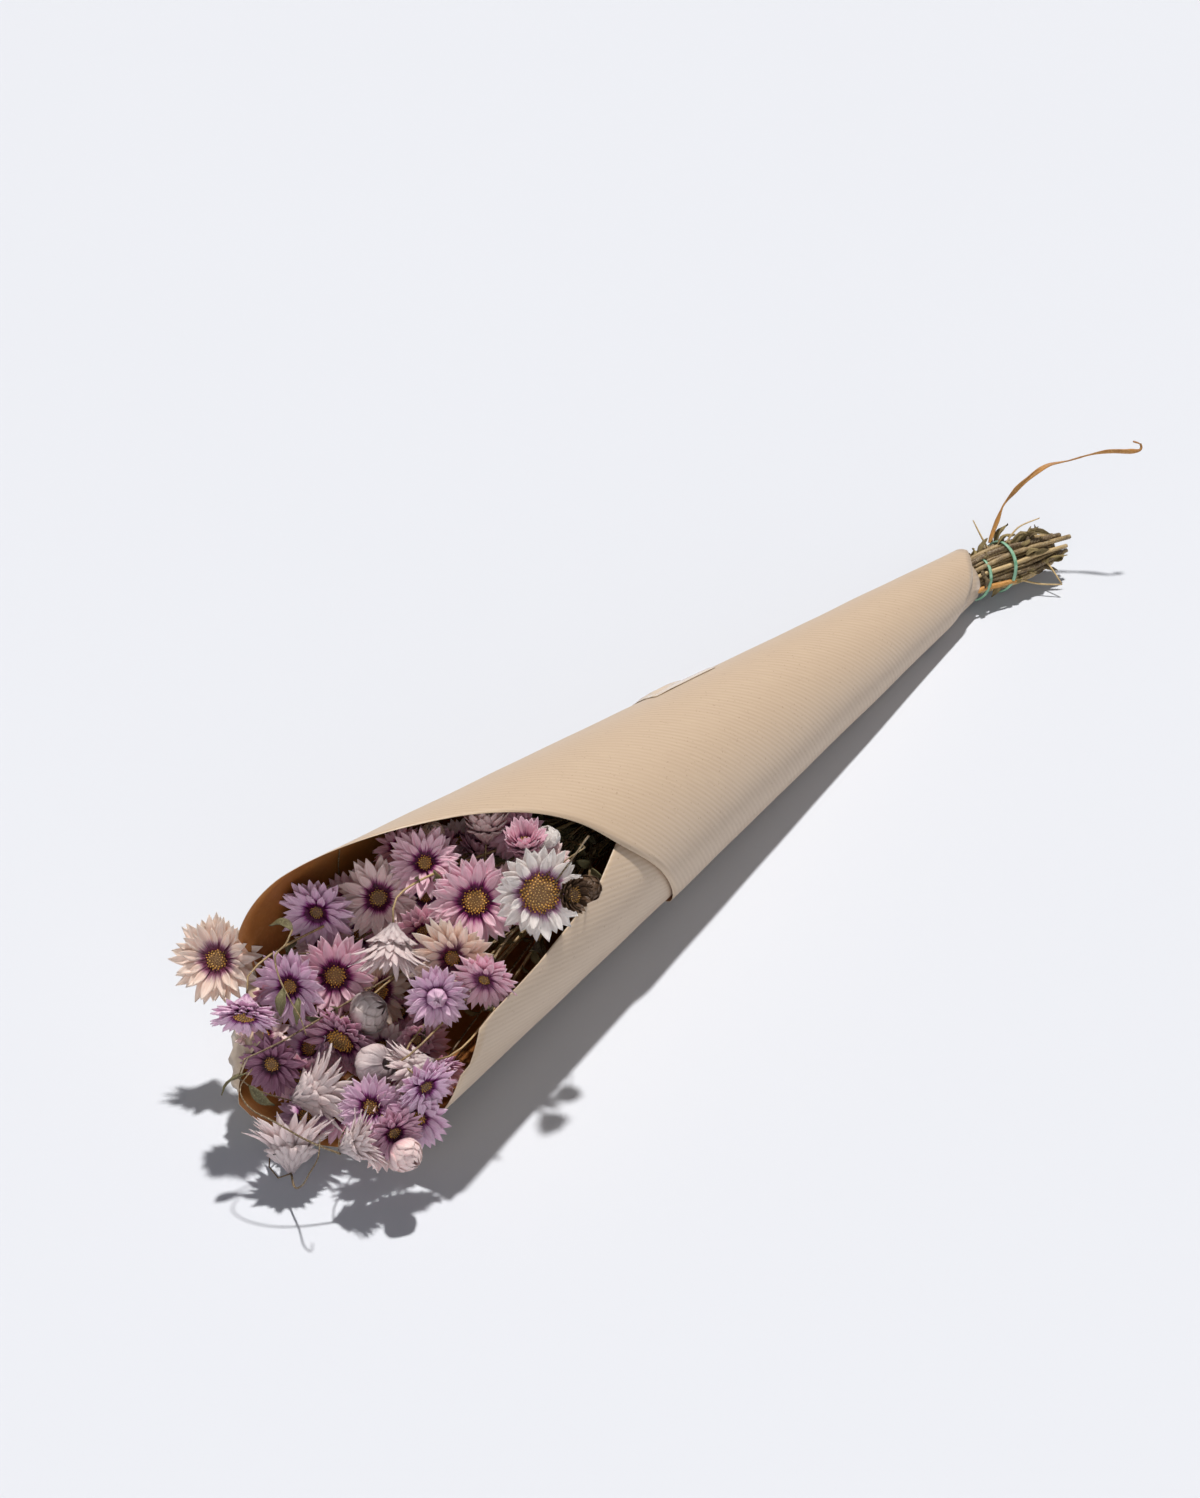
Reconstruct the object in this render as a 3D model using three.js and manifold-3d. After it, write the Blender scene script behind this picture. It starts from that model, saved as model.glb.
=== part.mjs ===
// A bunch of dried rhodanthe in a cone of ribbed kraft paper, lying on its side. Millimetres.
// X runs from the cut stems to the flowers, Z is up and the bunch rests on the floor at Z = 0.
import * as THREE from "three";
import { mergeVertices } from "three/addons/utils/BufferGeometryUtils.js";
import Module from "manifold-3d";

const wasm = await Module();
wasm.setup();

// Paper cone
const DEG = Math.PI / 180;
const CONE_HALF_ANGLE = 5.47 * DEG;
const APEX = new THREE.Vector3(-350, 0, -0.4);
const PAPER_THICKNESS = 0.8;
const TURN_STEP = 1.2; // how far each turn of the roll lies inside the one before
const REFERENCE_TURN = 40; // degrees of roll at which the sheet lies on the nominal cone

// Edge of the sheet at the mouth: [degrees of roll, distance from the apex]
const RIM = [
  [320, 369], [280, 377], [240, 387], [200, 399], [160, 414], [120, 433], [80, 454],
  [52, 475], [32, 488], [15, 503], [-2, 524], [-16, 547], [-32, 570], [-50, 591],
  [-78, 603], [-85, 592], [-92, 588], [-100, 600], [-120, 619], [-150, 629], [-170, 621], [-200, 610],
  [-240, 601], [-279, 585], [-283, 546], [-295, 497], [-308, 475], [-330, 430],
];
// Edge of the sheet at the stem end
const FOOT = [
  [320, 360], [300, 334], [280, 303], [260, 278], [240, 255], [220, 237], [200, 221],
  [180, 207], [160, 196], [140, 185], [120, 176], [100, 168], [69, 157], [39, 149],
  [-4, 138], [-42, 136], [-60, 146], [-330, 146],
];
// How far the mouth is pressed in on the side away from the light: [degrees of roll, depth]
const DENT = [[320, 0], [-20, 0], [-50, 1], [-78, 4], [-92, 9], [-125, 11], [-150, 8], [-178, 2], [-330, 2]];
const DENT_START = 300;
const DENT_SPAN = 320;
// The near left corner of the sheet, folded in
const FOLD_FROM = -90;
const FOLD_TO = -150;
const FOLD_PEAK = -120;
const FOLD_LENGTH = 23;
const FOLD_ANGLE = 95 * DEG;
const UNDER_TURNS = [170, 180, 190]; // columns that lie flat on the floor
const SAG_START = 418; // the inner turn comes down to the floor from here to the mouth
const BARE_STRIP = 6; // width of the last strip along an edge without a fold
const COLUMN_STEP = 10;
const CORNER_TURNS = [-278, -283]; // columns at the sharp corner of the rim, instead of the one between them

// Tape over the outer corner: [degrees of roll, height over the nominal cone]
const TAPE = [[-56, 1.5], [-48, 1.5], [-39.5, 1.5], [-33, 0.2], [-26, 0.1]];
const TAPE_FROM = 335;
const TAPE_TO = 378;
const TAPE_THICKNESS = 0.6;

// Stem bunch: [x, y, z, radius] along its middle
const BUNCH = [
  [-253, 21.5, 14, 6.5], [-246, 18, 14, 9], [-236, 13.5, 13.8, 10.6], [-224, 8.5, 13.6, 10.6],
  [-213, 4, 13.6, 9], [-203, 1.5, 14, 8.2], [-190, 0.5, 15, 8.2], [-120, 0, 21.8, 9],
  [-20, 0, 31.4, 11], [60, 0, 39, 13], [112, -4, 44, 16], [132, -6, 46, 11],
];
const BUNCH_FLUTES = 11;
const BUNCH_FLUTE_DEPTH = 0.14;
const CLEARANCE = 0.3;
const CORNER_GRID = 0.05; // corners of the joined stems are rounded to this, which leaves no slivers
const GRID_ROUNDS = 3;

// Rubber bands round the bare stems: [x, y, z, ring radius, lean, turn]
const BANDS = [
  [-227, 9.8, 13.8, 12.2, -16, -22],
  [-212.5, 5.2, 12.6, 10.6, -26, -18],
];
const BAND_WIDTH = 1.7;
const BAND_THICKNESS = 1.1;

// Line of sight that the head angles refer to
const TO_VIEWER = new THREE.Vector3(0.6503, 0.4795, 0.5892);
const VIEWER_RIGHT = new THREE.Vector3(-0.5934, 0.8049, 0);
const VIEWER_UP = new THREE.Vector3(-0.4742, -0.3496, 0.808);

// Flower heads: [name, x, y, z, degrees to the right, degrees up, radius, disc radius, petals, form]
const HEADS = [
  ["open_01", 251, -60, 54.5, -5, 0, 17, 5.2, 11, "open"],
  ["open_02", 218, -36.5, 68.5, -10, -30, 15, 3.2, 10, "open"],
  ["open_03", 198, -22, 69, 0, 5, 16, 4.4, 11, "open"],
  ["open_04", 184, 15, 76, 0, -5, 18, 6, 11, "open"],
  ["open_05", 172, 37, 83, 10, -10, 18, 8, 10, "open"],
  ["open_06", 228, -20, 51, 5, -10, 16.5, 5.2, 11, "open"],
  ["open_07", 246.5, -26, 55.5, -20, -15, 14.5, 3.6, 10, "open"],
  ["open_08", 270.5, -28.5, 56.5, -10, -65, 13.5, 4.8, 9, "open"],
  ["open_09", 212.5, -12, 36.5, 45, -10, 15, 4.5, 9, "open"],
  ["cup_10", 205, 21, 64, -20, -10, 14, 3, 9, "cup"],
  ["back_11", 221, 3.5, 72, -20, -80, 16, 3, 9, "back"],
  ["open_12", 223, 26.5, 60.5, 5, -10, 12, 4, 9, "open"],
  ["bud_13", 234, 2, 48, 60, 20, 8, 0, 6, "bud"],
  ["open_14", 244.5, -3.5, 39, -30, -40, 16, 6.5, 9, "open"],
  ["cup_15", 228, 20, 39, 0, 0, 10, 2.5, 8, "cup"],
  ["back_16", 243, 32, 42, -100, -20, 13, 2.5, 9, "back"],
  ["bud_17", 249, 17, 39, -140, -10, 8, 0, 6, "bud"],
  ["back_18", 266, 1, 29, 110, 15, 17, 3, 11, "back"],
  ["back_19", 286, 5, 18, 10, 110, 17, 3, 11, "back"],
  ["cup_20", 278.5, 32.5, 28, 95, 20, 9.5, 2.5, 9, "cup"],
  ["bud_21", 270.7, 49.2, 27.2, 60, -30, 6.5, 0, 6, "bud"],
  ["open_22", 262.5, 25.5, 32.5, 0, 0, 12, 3.5, 10, "open"],
  ["open_23", 252, 43.5, 45.5, 40, -30, 12, 3, 9, "open"],
  ["open_24", 267, 40, 31.5, 30, -30, 11.5, 3, 8, "open"],
  ["cup_25", 234.5, 39, 37.5, 60, -20, 9, 2.5, 8, "cup"],
  ["open_26", 183, -10.5, 82, 0, 10, 14, 3.6, 9, "open"],
  ["open_27", 177.5, -28, 78, -30, 40, 10.5, 3, 8, "open"],
  ["bud_28", 167, -19.5, 83, -20, 40, 4.5, 0, 6, "bud"],
  ["cup_29", 153.5, -3.5, 85.5, 0, 75, 13, 3, 9, "cup"],
  ["cup_30", 162.5, -18, 75.5, 0, 30, 8, 2.5, 8, "cup"],
  ["bud_31", 149, 23, 89, 0, 60, 5, 0, 6, "bud"],
  ["cup_32", 159, 20, 91, 0, 50, 12, 3, 8, "cup"],
  ["cup_33", 149, -11.5, 68, 20, 60, 11, 3, 8, "cup"],
  ["open_35", 197.5, -1, 63, 20, -35, 13, 3.2, 8, "open"],
  ["open_36", 217, -34.5, 50.5, 0, -5, 13, 3.5, 8, "open"],
  ["open_38", 271, -16, 38.5, -20, -20, 15, 4, 8, "open"],
  ["cup_39", 171.5, 52.3, 88.8, 40, 0, 9.5, 4, 8, "cup"],
  ["seed_40", 157.5, 49.5, 81.5, 0, 0, 5, 0, 6, "bud"],
  ["back_44", 213.5, 43, 74, -80, -30, 14, 2.5, 8, "back"],
];
// Heads whose florets are a body of their own
const SPLIT_DISCS = [
  "open_01", "open_02", "open_03", "open_04", "open_05", "open_06", "open_07",
  "open_08", "open_09", "open_12", "open_14", "open_22", "open_26",
];

function finish(name, color, roughness) {
  return new THREE.MeshStandardMaterial({ name, color, roughness });
}

const paperMaterial = finish("kraft_paper", 0xc8af8c, 0.8);
const tapeMaterial = finish("clear_tape", 0xe2dccf, 0.25);
const stemMaterial = finish("dry_stem", 0x8b7450, 0.85);
const leafMaterial = finish("dry_leaf", 0xa87432, 0.8);
const bandMaterial = finish("green_rubber", 0x5fae7f, 0.6);
const discMaterial = finish("florets", 0xa97c2e, 0.9);
const pinkMaterial = finish("pink_bracts", 0xd9a5c0, 0.7);
const silverMaterial = finish("silver_bracts", 0xd9d0cc, 0.6);

const bunch = new THREE.Group();
bunch.name = "dried_rhodanthe";

// Seeded random numbers between 0 and 1
function seeded(seed) {
  let state = (seed * 2654435761 + 12345) >>> 0;
  return () => {
    state = (Math.imul(state, 1664525) + 1013904223) >>> 0;
    return state / 4294967296;
  };
}

// Value of a table of pairs at a point between its rows, whichever way its first column runs
function between(table, at) {
  const rising = table[table.length - 1][0] > table[0][0];
  for (let i = 1; i < table.length; i++) {
    const [a, va] = table[i - 1];
    const [b, vb] = table[i];
    if (rising ? at <= b : at >= b) {
      const share = THREE.MathUtils.clamp((at - a) / (b - a), 0, 1);
      return va + (vb - va) * share;
    }
  }
  return table[table.length - 1][1];
}

function addNode(name, geometry, material) {
  const mesh = new THREE.Mesh(geometry, material);
  mesh.name = name;
  bunch.add(mesh);
  return mesh;
}

function geometryOf(points, triangles) {
  const geometry = new THREE.BufferGeometry();
  geometry.setAttribute("position", new THREE.Float32BufferAttribute(points.flatMap((p) => p.toArray()), 3));
  geometry.setIndex(triangles);
  return geometry;
}

function solidOf(geometry) {
  const bare = geometry.clone();
  bare.deleteAttribute("normal");
  bare.deleteAttribute("uv");
  const merged = mergeVertices(bare, 1e-3);
  const vertProperties = new Float32Array(merged.attributes.position.array);
  const triVerts = new Uint32Array(merged.index.array);
  return new wasm.Manifold(new wasm.Mesh({ numProp: 3, vertProperties, triVerts }));
}

function geometryFrom(solid) {
  const mesh = solid.getMesh();
  const geometry = new THREE.BufferGeometry();
  geometry.setAttribute("position", new THREE.BufferAttribute(new Float32Array(mesh.vertProperties), 3));
  geometry.setIndex(new THREE.BufferAttribute(new Uint32Array(mesh.triVerts), 1));
  return geometry;
}

// Closed body through rings of equal size, with a fan at both ends. The diagonals turn round at one level,
// so they run the same way on both faces of a petal.
function loft(rings, startPoint, endPoint, turnedLevel = -1) {
  const size = rings[0].length;
  const points = rings.flat();
  const triangles = [];
  for (let level = 0; level + 1 < rings.length; level++) {
    for (let i = 0; i < size; i++) {
      const next = (i + 1) % size;
      const a = level * size + i;
      const b = level * size + next;
      const c = a + size;
      const d = b + size;
      const fromTip = (i % 2 === 0) !== (level === turnedLevel);
      if (fromTip) triangles.push(a, b, d, a, d, c);
      else triangles.push(a, b, c, b, d, c);
    }
  }
  const start = points.length;
  const end = start + 1;
  points.push(startPoint, endPoint);
  const last = (rings.length - 1) * size;
  for (let i = 0; i < size; i++) {
    const next = (i + 1) % size;
    triangles.push(start, next, i);
    triangles.push(end, last + i, last + next);
  }
  return geometryOf(points, triangles);
}

// Way of a stem in straight stretches. At a bend its section lies half way between both directions.
class StemWay extends THREE.Curve {
  constructor(spots) {
    super();
    this.spots = spots;
  }

  getPointAt(share) {
    return this.spots[Math.round(share * (this.spots.length - 1))].clone();
  }

  getTangentAt(share) {
    const last = this.spots.length - 1;
    const index = Math.round(share * last);
    const direction = new THREE.Vector3();
    if (index > 0) direction.add(this.spots[index].clone().sub(this.spots[index - 1]).normalize());
    if (index < last) direction.add(this.spots[index + 1].clone().sub(this.spots[index]).normalize());
    return direction.normalize();
  }
}

// Round stem through the given spots
function stemThrough(spots, radius, sides) {
  const section = new THREE.Shape();
  for (let i = 0; i < sides; i++) {
    const angle = (i / sides) * 2 * Math.PI;
    const x = radius * Math.cos(angle);
    const y = radius * Math.sin(angle);
    if (i === 0) section.moveTo(x, y);
    else section.lineTo(x, y);
  }
  section.closePath();
  const extrudePath = new StemWay(spots);
  return new THREE.ExtrudeGeometry(section, { steps: spots.length - 1, bevelEnabled: false, extrudePath });
}

function smoothSpots(points, steps) {
  return new THREE.CatmullRomCurve3(points, false, "centripetal").getSpacedPoints(steps);
}

// Flat blade along points, with a half width at each; it lies across the given side direction
function blade(points, halfWidths, side, thickness) {
  const rings = points.map((point, i) => {
    const before = points[Math.max(0, i - 1)];
    const after = points[Math.min(points.length - 1, i + 1)];
    const along = after.clone().sub(before).normalize();
    const turned = Array.isArray(side) ? side[i] : side;
    const across = turned.clone().addScaledVector(along, -turned.dot(along)).normalize();
    const up = along.clone().cross(across);
    const w = halfWidths[i];
    const t = thickness / 2;
    return [
      point.clone().addScaledVector(across, w),
      point.clone().addScaledVector(up, t),
      point.clone().addScaledVector(across, -w),
      point.clone().addScaledVector(up, -t),
    ];
  });
  return loft(rings, points[0].clone(), points[points.length - 1].clone());
}

function v(x, y, z) {
  return new THREE.Vector3(x, y, z);
}

// Directions on the cone at a turn of the roll: along its side, and out of its surface
function coneFrame(turn) {
  const axis = v(Math.cos(CONE_HALF_ANGLE), 0, Math.sin(CONE_HALF_ANGLE));
  const up = v(-Math.sin(CONE_HALF_ANGLE), 0, Math.cos(CONE_HALF_ANGLE));
  const side = v(0, 1, 0);
  const radial = up.multiplyScalar(Math.cos(turn * DEG)).addScaledVector(side, Math.sin(turn * DEG));
  const along = axis.clone().multiplyScalar(Math.cos(CONE_HALF_ANGLE));
  along.addScaledVector(radial, Math.sin(CONE_HALF_ANGLE));
  const out = radial.clone().multiplyScalar(Math.cos(CONE_HALF_ANGLE));
  out.addScaledVector(axis, -Math.sin(CONE_HALF_ANGLE));
  return { along, out };
}

function conePoint(turn, distance, offset) {
  const { along, out } = coneFrame(turn);
  return APEX.clone().addScaledVector(along, distance).addScaledVector(out, offset);
}

function dentAt(turn, distance) {
  const share = Math.max(0, (distance - DENT_START) / DENT_SPAN);
  return between(DENT, turn) * share * share;
}

// Foot, middle, fold and tip of the sheet at one turn, each as its outer and inner point
function sheetColumn(turn) {
  const { along, out } = coneFrame(turn);
  const depth = (TURN_STEP * (turn - REFERENCE_TURN)) / 360;
  const foot = between(FOOT, turn);
  const rim = between(RIM, turn);
  const inFold = turn < FOLD_FROM && turn > FOLD_TO;
  const under = UNDER_TURNS.includes(Math.abs(turn));
  const middle = under && turn < 0 ? SAG_START : (foot + rim) / 2;
  const bend = inFold ? rim : rim - BARE_STRIP;
  const place = (distance) => conePoint(turn, distance, depth - dentAt(turn, distance) - PAPER_THICKNESS / 2);
  const spots = [foot, middle, bend].map((distance) => ({ at: place(distance), out, scale: 1 }));
  if (inFold) {
    const spread = turn > FOLD_PEAK ? FOLD_FROM - turn : turn - FOLD_TO;
    const length = (FOLD_LENGTH * spread) / (FOLD_PEAK - FOLD_TO);
    const level = Math.cos(FOLD_ANGLE);
    const rise = Math.sin(FOLD_ANGLE);
    const inward = along.clone().multiplyScalar(level).addScaledVector(out, -rise);
    const outFlap = out.clone().multiplyScalar(level).addScaledVector(along, rise);
    spots[2].out = out.clone().add(outFlap).normalize();
    spots[2].scale = 1 / Math.cos(FOLD_ANGLE / 2);
    spots.push({ at: spots[2].at.clone().addScaledVector(inward, length), out: outFlap, scale: 1 });
  } else {
    spots.push({ at: place(rim), out, scale: 1 });
  }
  return spots.map(({ at, out: normal, scale }, row) => {
    const half = (PAPER_THICKNESS / 2) * scale;
    const outer = at.clone().addScaledVector(normal, half);
    const inner = at.clone().addScaledVector(normal, -half);
    if (under) {
      const raised = turn < 0 && row < 2 ? TURN_STEP : 0;
      outer.z = raised;
      inner.z = raised + PAPER_THICKNESS;
    }
    return { outer, inner };
  });
}

function paperWrap() {
  const turns = [...CORNER_TURNS];
  for (let turn = RIM[0][0]; turn >= RIM[RIM.length - 1][0]; turn -= COLUMN_STEP) {
    const atCorner = turn < CORNER_TURNS[0] && turn > CORNER_TURNS[1];
    if (!atCorner) turns.push(turn);
  }
  const columns = turns.sort((a, b) => b - a).map(sheetColumn);
  const rows = columns[0].length;
  const points = [];
  columns.forEach((column) => column.forEach(({ outer, inner }) => points.push(outer, inner)));
  const outerAt = (column, row) => (column * rows + row) * 2;
  const innerAt = (column, row) => outerAt(column, row) + 1;
  const triangles = [];
  const quad = (a, b, c, d) => triangles.push(a, b, c, a, c, d);
  for (let i = 0; i + 1 < columns.length; i++) {
    for (let row = 0; row + 1 < rows; row++) {
      quad(outerAt(i, row), outerAt(i + 1, row), outerAt(i + 1, row + 1), outerAt(i, row + 1));
      quad(innerAt(i + 1, row + 1), innerAt(i + 1, row), innerAt(i, row), innerAt(i, row + 1));
    }
    quad(outerAt(i, 0), innerAt(i, 0), innerAt(i + 1, 0), outerAt(i + 1, 0));
    const rim = rows - 1;
    quad(outerAt(i, rim), outerAt(i + 1, rim), innerAt(i + 1, rim), innerAt(i, rim));
  }
  const end = columns.length - 1;
  for (let row = 0; row + 1 < rows; row++) {
    quad(outerAt(0, row), outerAt(0, row + 1), innerAt(0, row + 1), innerAt(0, row));
    quad(outerAt(end, row), innerAt(end, row), innerAt(end, row + 1), outerAt(end, row + 1));
  }
  return geometryOf(points, triangles);
}

function closingTape() {
  const rings = TAPE.map(([turn, height]) => [
    conePoint(turn, TAPE_FROM, height),
    conePoint(turn, TAPE_FROM, height + TAPE_THICKNESS),
    conePoint(turn, TAPE_TO, height + TAPE_THICKNESS),
    conePoint(turn, TAPE_TO, height),
  ]);
  const middle = (ring) => ring.reduce((sum, p) => sum.add(p), v(0, 0, 0)).multiplyScalar(1 / ring.length);
  return loft(rings, middle(rings[0]), middle(rings[rings.length - 1]));
}

// Ring of a rubber band; a larger cross-section of it cuts the groove that it lies in
function bandRing([x, y, z, radius, lean, turn], margin) {
  const across = BAND_WIDTH / 2 + margin;
  const profile = [
    new THREE.Vector2(radius - BAND_THICKNESS / 2 - margin, -across),
    new THREE.Vector2(radius + BAND_THICKNESS / 2 + margin, -across),
    new THREE.Vector2(radius + BAND_THICKNESS / 2 + margin, across),
    new THREE.Vector2(radius - BAND_THICKNESS / 2 - margin, across),
    new THREE.Vector2(radius - BAND_THICKNESS / 2 - margin, -across),
  ];
  const ring = new THREE.LatheGeometry(profile, 20);
  ring.rotateZ(Math.PI / 2);
  ring.rotateY(lean * DEG);
  ring.rotateZ(turn * DEG);
  ring.translate(x, y, z);
  return ring;
}

// Bare stems that lie along the outside of the bunch behind the paper: [turn, end x, radius].
// Past the last station of the bunch they spread and bend towards the camera's side.
const BARE_STEMS = [
  [8, -259, 1.7], [34, -262, 1.5], [62, -258, 1.3], [88, -255, 1.5], [112, -250, 1.2], [140, -252, 1.3],
  [168, -246, 1.1], [200, -250, 1.4], [228, -247, 1.1], [258, -252, 1.4], [286, -256, 1.2], [318, -252, 1.4],
  [345, -257, 1.6],
];

const BARE_STATIONS = [-196, -212, -226, -240];
const BARE_SPREAD = 0.1;
const BARE_BEND = 0.35;
const ROOT_DEPTH = 0.4;

function bunchStation(x) {
  const y = between(BUNCH.map((row) => [row[0], row[1]]), x);
  const z = between(BUNCH.map((row) => [row[0], row[2]]), x);
  const radius = between(BUNCH.map((row) => [row[0], row[3]]), x);
  return { middle: v(x, y, z), radius };
}

function bunchCore() {
  const random = seeded(7);
  const phases = Array.from({ length: BUNCH_FLUTES * 2 }, () => random() - 0.5);
  const rings = BUNCH.map(([x, y, z, radius], station) =>
    phases.map((shift, i) => {
      const angle = ((i + shift * 0.5) / phases.length) * 2 * Math.PI + station * 0.08;
      const reach = radius * (i % 2 ? 1 - BUNCH_FLUTE_DEPTH : 1);
      return v(x, y + reach * Math.sin(angle), z - reach * Math.cos(angle));
    }),
  );
  const first = BUNCH[0];
  const last = BUNCH[BUNCH.length - 1];
  return loft(rings, v(first[0], first[1], first[2]), v(last[0] + 4, last[1], last[2]));
}

function bareStem([turn, endX, radius], index) {
  const random = seeded(40 + index);
  const points = [...BARE_STATIONS, endX].map((x, i) => {
    const { middle, radius: reach } = bunchStation(Math.max(x, BUNCH[0][0]));
    const angle = (turn + (random() - 0.5) * 10) * DEG;
    const inner = i === 0 ? reach - radius - ROOT_DEPTH : reach - radius * 0.2;
    const beyond = Math.max(0, BUNCH[0][0] - x);
    const away = inner + beyond * BARE_SPREAD;
    return v(x, middle.y + beyond * BARE_BEND + away * Math.sin(angle), middle.z + away * Math.cos(angle));
  });
  return stemThrough(smoothSpots(points, 4), radius, 5);
}

// Withered leaves on the bare stems: [root, middle, tip, half width]
const WITHERED = [
  [[-226, 7, 22], [-234, 7, 27], [-239, 11, 26], 2.6],
  [[-232, 10, 22], [-240, 13, 28], [-246, 14, 25], 2.8],
  [[-238, 13, 21], [-246, 18, 27], [-251, 24, 25], 2.2],
  [[-214, 9, 19], [-209, 13, 18], [-206, 15, 14], 2.4],
  [[-222, 14, 16], [-215, 17, 12], [-211, 16, 7], 2.6],
  [[-238, 22, 15], [-246, 27, 11], [-252, 29, 6], 2.2],
  [[-232, 4, 20], [-238, 1, 25], [-244, 4, 27], 2.4],
  [[-240, 8, 10], [-248, 7, 6], [-253, 11, 3], 2.4],
];
// Straws that stand off the bare stems
const STRAWS = [
  [[-226, 4.5, 21], [-226, 0, 27], [-227, -6, 34]],
  [[-230, 9, 21], [-238, 12.5, 31], [-247, 19, 34.5]],
  [[-247, 20, 16], [-244, 31, 10], [-242, 37, 6]],
  [[-232, 18, 7], [-237, 28, 5.5], [-242, 37, 6]],
  [[-206, 6, 9], [-215, 13.5, 8], [-232, 21.5, 7.5]],
];
const STRAW_RADIUS = 0.55;

// Point where a head's stem meets it, behind the florets
function headFrame([, x, y, z, right, up]) {
  const facing = TO_VIEWER.clone().multiplyScalar(Math.cos(right * DEG) * Math.cos(up * DEG));
  facing.addScaledVector(VIEWER_RIGHT, Math.sin(right * DEG) * Math.cos(up * DEG));
  facing.addScaledVector(VIEWER_UP, Math.sin(up * DEG));
  facing.normalize();
  return { centre: v(x, y, z), facing };
}

function headDepth([, , , , , , radius, , , form]) {
  return form === "bud" ? radius * 0.95 : radius * 0.5 + 1;
}

function neckOf(head) {
  const { centre, facing } = headFrame(head);
  return centre.clone().addScaledVector(facing, -headDepth(head));
}

const BRANCH_START = 96;
const BRANCH_RADIUS = 0.75;
const APPROACH = 9;
const ELBOW = 1; // straight end of each stem under its head

// Way of each stem between the bunch and its head, where it isn't the plain one
const DETOURS = {
  open_01: [[225.5, -23.5, 61], [242, -51.5, 63], [239.5, -66, 48.5]],
  open_06: [[180.5, -18, 46], [216.5, -27.5, 45.5]],
  open_07: [[203, -30.5, 28.5], [252.5, -38.5, 55], [232, -29.5, 52]],
  open_08: [[221, -8, 70.5], [263, -36.5, 61.5]],
  back_11: [[154, 2, 60.5], [213.5, 0, 81]],
  open_12: [[188, 25, 43], [216.5, 12, 57.5]],
  bud_13: [[237, -5.5, 44]],
  back_16: [
    [154, 40.5, 71], [171.5, 40.5, 68], [183, 41, 63.5], [195, 38, 57.5], [208.5, 41.5, 51], [222, 42.5, 48.5],
    [234, 39.5, 45],
  ],
  bud_17: [[231.5, 13.5, 51], [255.5, 23, 44.5]],
  back_18: [
    [188.5, -5.5, 43], [241.5, -7.5, 58], [275, -12, 51.5], [284, -15, 52], [291, -16, 49.5], [290, -12, 44],
    [281.5, -8.5, 34.5],
  ],
  cup_20: [[223, 24.5, 18], [283.5, 27.5, 26.5]],
  bud_21: [[237.5, 29, 21.5], [281, 39.5, 18.5], [283.5, 32.5, 27.5], [283, 35, 31]],
  open_23: [[209, 34.5, 52], [246.5, 31.5, 46]],
  open_24: [[226, 47, 56], [263, 33, 31.5]],
  cup_25: [[233.5, 29, 37]],
  bud_28: [[135, -7, 73.5], [158, -23, 86.5], [164, -17, 75]],
  open_38: [[254.5, -21.5, 36.5]],
  cup_39: [[159, 45.5, 98.5], [171, 40.5, 82.5]],
  back_44: [[201, 47, 76.5]],
};

function branch(head) {
  const [name] = head;
  const { facing } = headFrame(head);
  const neck = neckOf(head);
  const end = neck.clone().addScaledVector(facing, -CLEARANCE);
  const { middle, radius } = bunchStation(BRANCH_START);
  const out = v(0, neck.y - middle.y, neck.z - middle.z);
  const reach = Math.min(radius * 0.7, out.length() * 0.5);
  const start = middle.clone().addScaledVector(out.normalize(), reach);
  const plain = [end.clone().addScaledVector(facing, -APPROACH)];
  const way = DETOURS[name] ? DETOURS[name].map((p) => v(...p)) : plain;
  const elbow = end.clone().addScaledVector(facing, -ELBOW);
  const spots = smoothSpots([start, ...way, elbow], 2 + way.length);
  return stemThrough([...spots, end], BRANCH_RADIUS, 4);
}

// Ring of points whose even ones have one radius and height and whose odd ones another
function ringOf(count, evenRadius, oddRadius, evenHeight, oddHeight, jitter, random) {
  const ring = [];
  for (let i = 0; i < count * 2; i++) {
    const even = i % 2 === 0;
    const stretch = 1 + (random() - 0.5) * jitter;
    const radius = (even ? evenRadius : oddRadius) * stretch;
    const height = (even ? evenHeight : oddHeight) + (random() - 0.5) * jitter * radius * 0.25;
    const angle = (i / (count * 2)) * 2 * Math.PI;
    ring.push(v(radius * Math.cos(angle), radius * Math.sin(angle), height));
  }
  return ring;
}

// Head bodies in their own frame: the florets face +Z and the stem joins below.
// Rings from the stem up: [even radius, odd radius, even height, odd height, jitter]
const BUD_RINGS = [
  [0.16, 0.16, 0, 0, 0], [0.8, 0.7, 0.22, 0.2, 0], [1, 0.8, 0.52, 0.42, 0.06],
  [0.74, 0.82, 0.6, 0.72, 0.06], [0.3, 0.42, 0.82, 0.94, 0],
];
const BUD_LENGTH = 1.9; // bud radii
const BUD_TOP = 0.9;
const CALYX_RING = [0.3, 0.28, -0.3, -0.3, 0];
const OUTER_BRACT_RINGS = [[0.66, 0.46, -0.17, -0.2, 0.1], [0.36, 0.38, -0.14, -0.14, 0]];
const WIDE_RING = [0.97, 0.7, 0, 0, 0.1];
const INNER_BRACT_RINGS = [[0.44, 0.44, 0.02, 0.02, 0], [0.6, 0.84, 0.11, 0.15, 0.1]];
const DISC_RINGS = [
  [0.96, 0.96, 0, 0, 0], [1, 0.97, 0.22, 0.2, 0],
  [0.66, 0.8, 0.42, 0.34, 0.06], [0.36, 0.3, 0.44, 0.5, 0.06],
];
const DISC_TOP = 0.42;
const DISC_SIDES = 6;
const DISC_RIM_HEIGHT = 0.5;
const DISC_LEVEL = 0.06; // height of the florets' seat, in head radii
const SEAT_MARGIN = 0.6;
const SEAT_DEPTH = 0.4;
const NECK_RADIUS = 1.1;
const LIFT = { open: 0.1, cup: 0.62, back: 0.45 }; // how far the tips rise, in head radii

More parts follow.
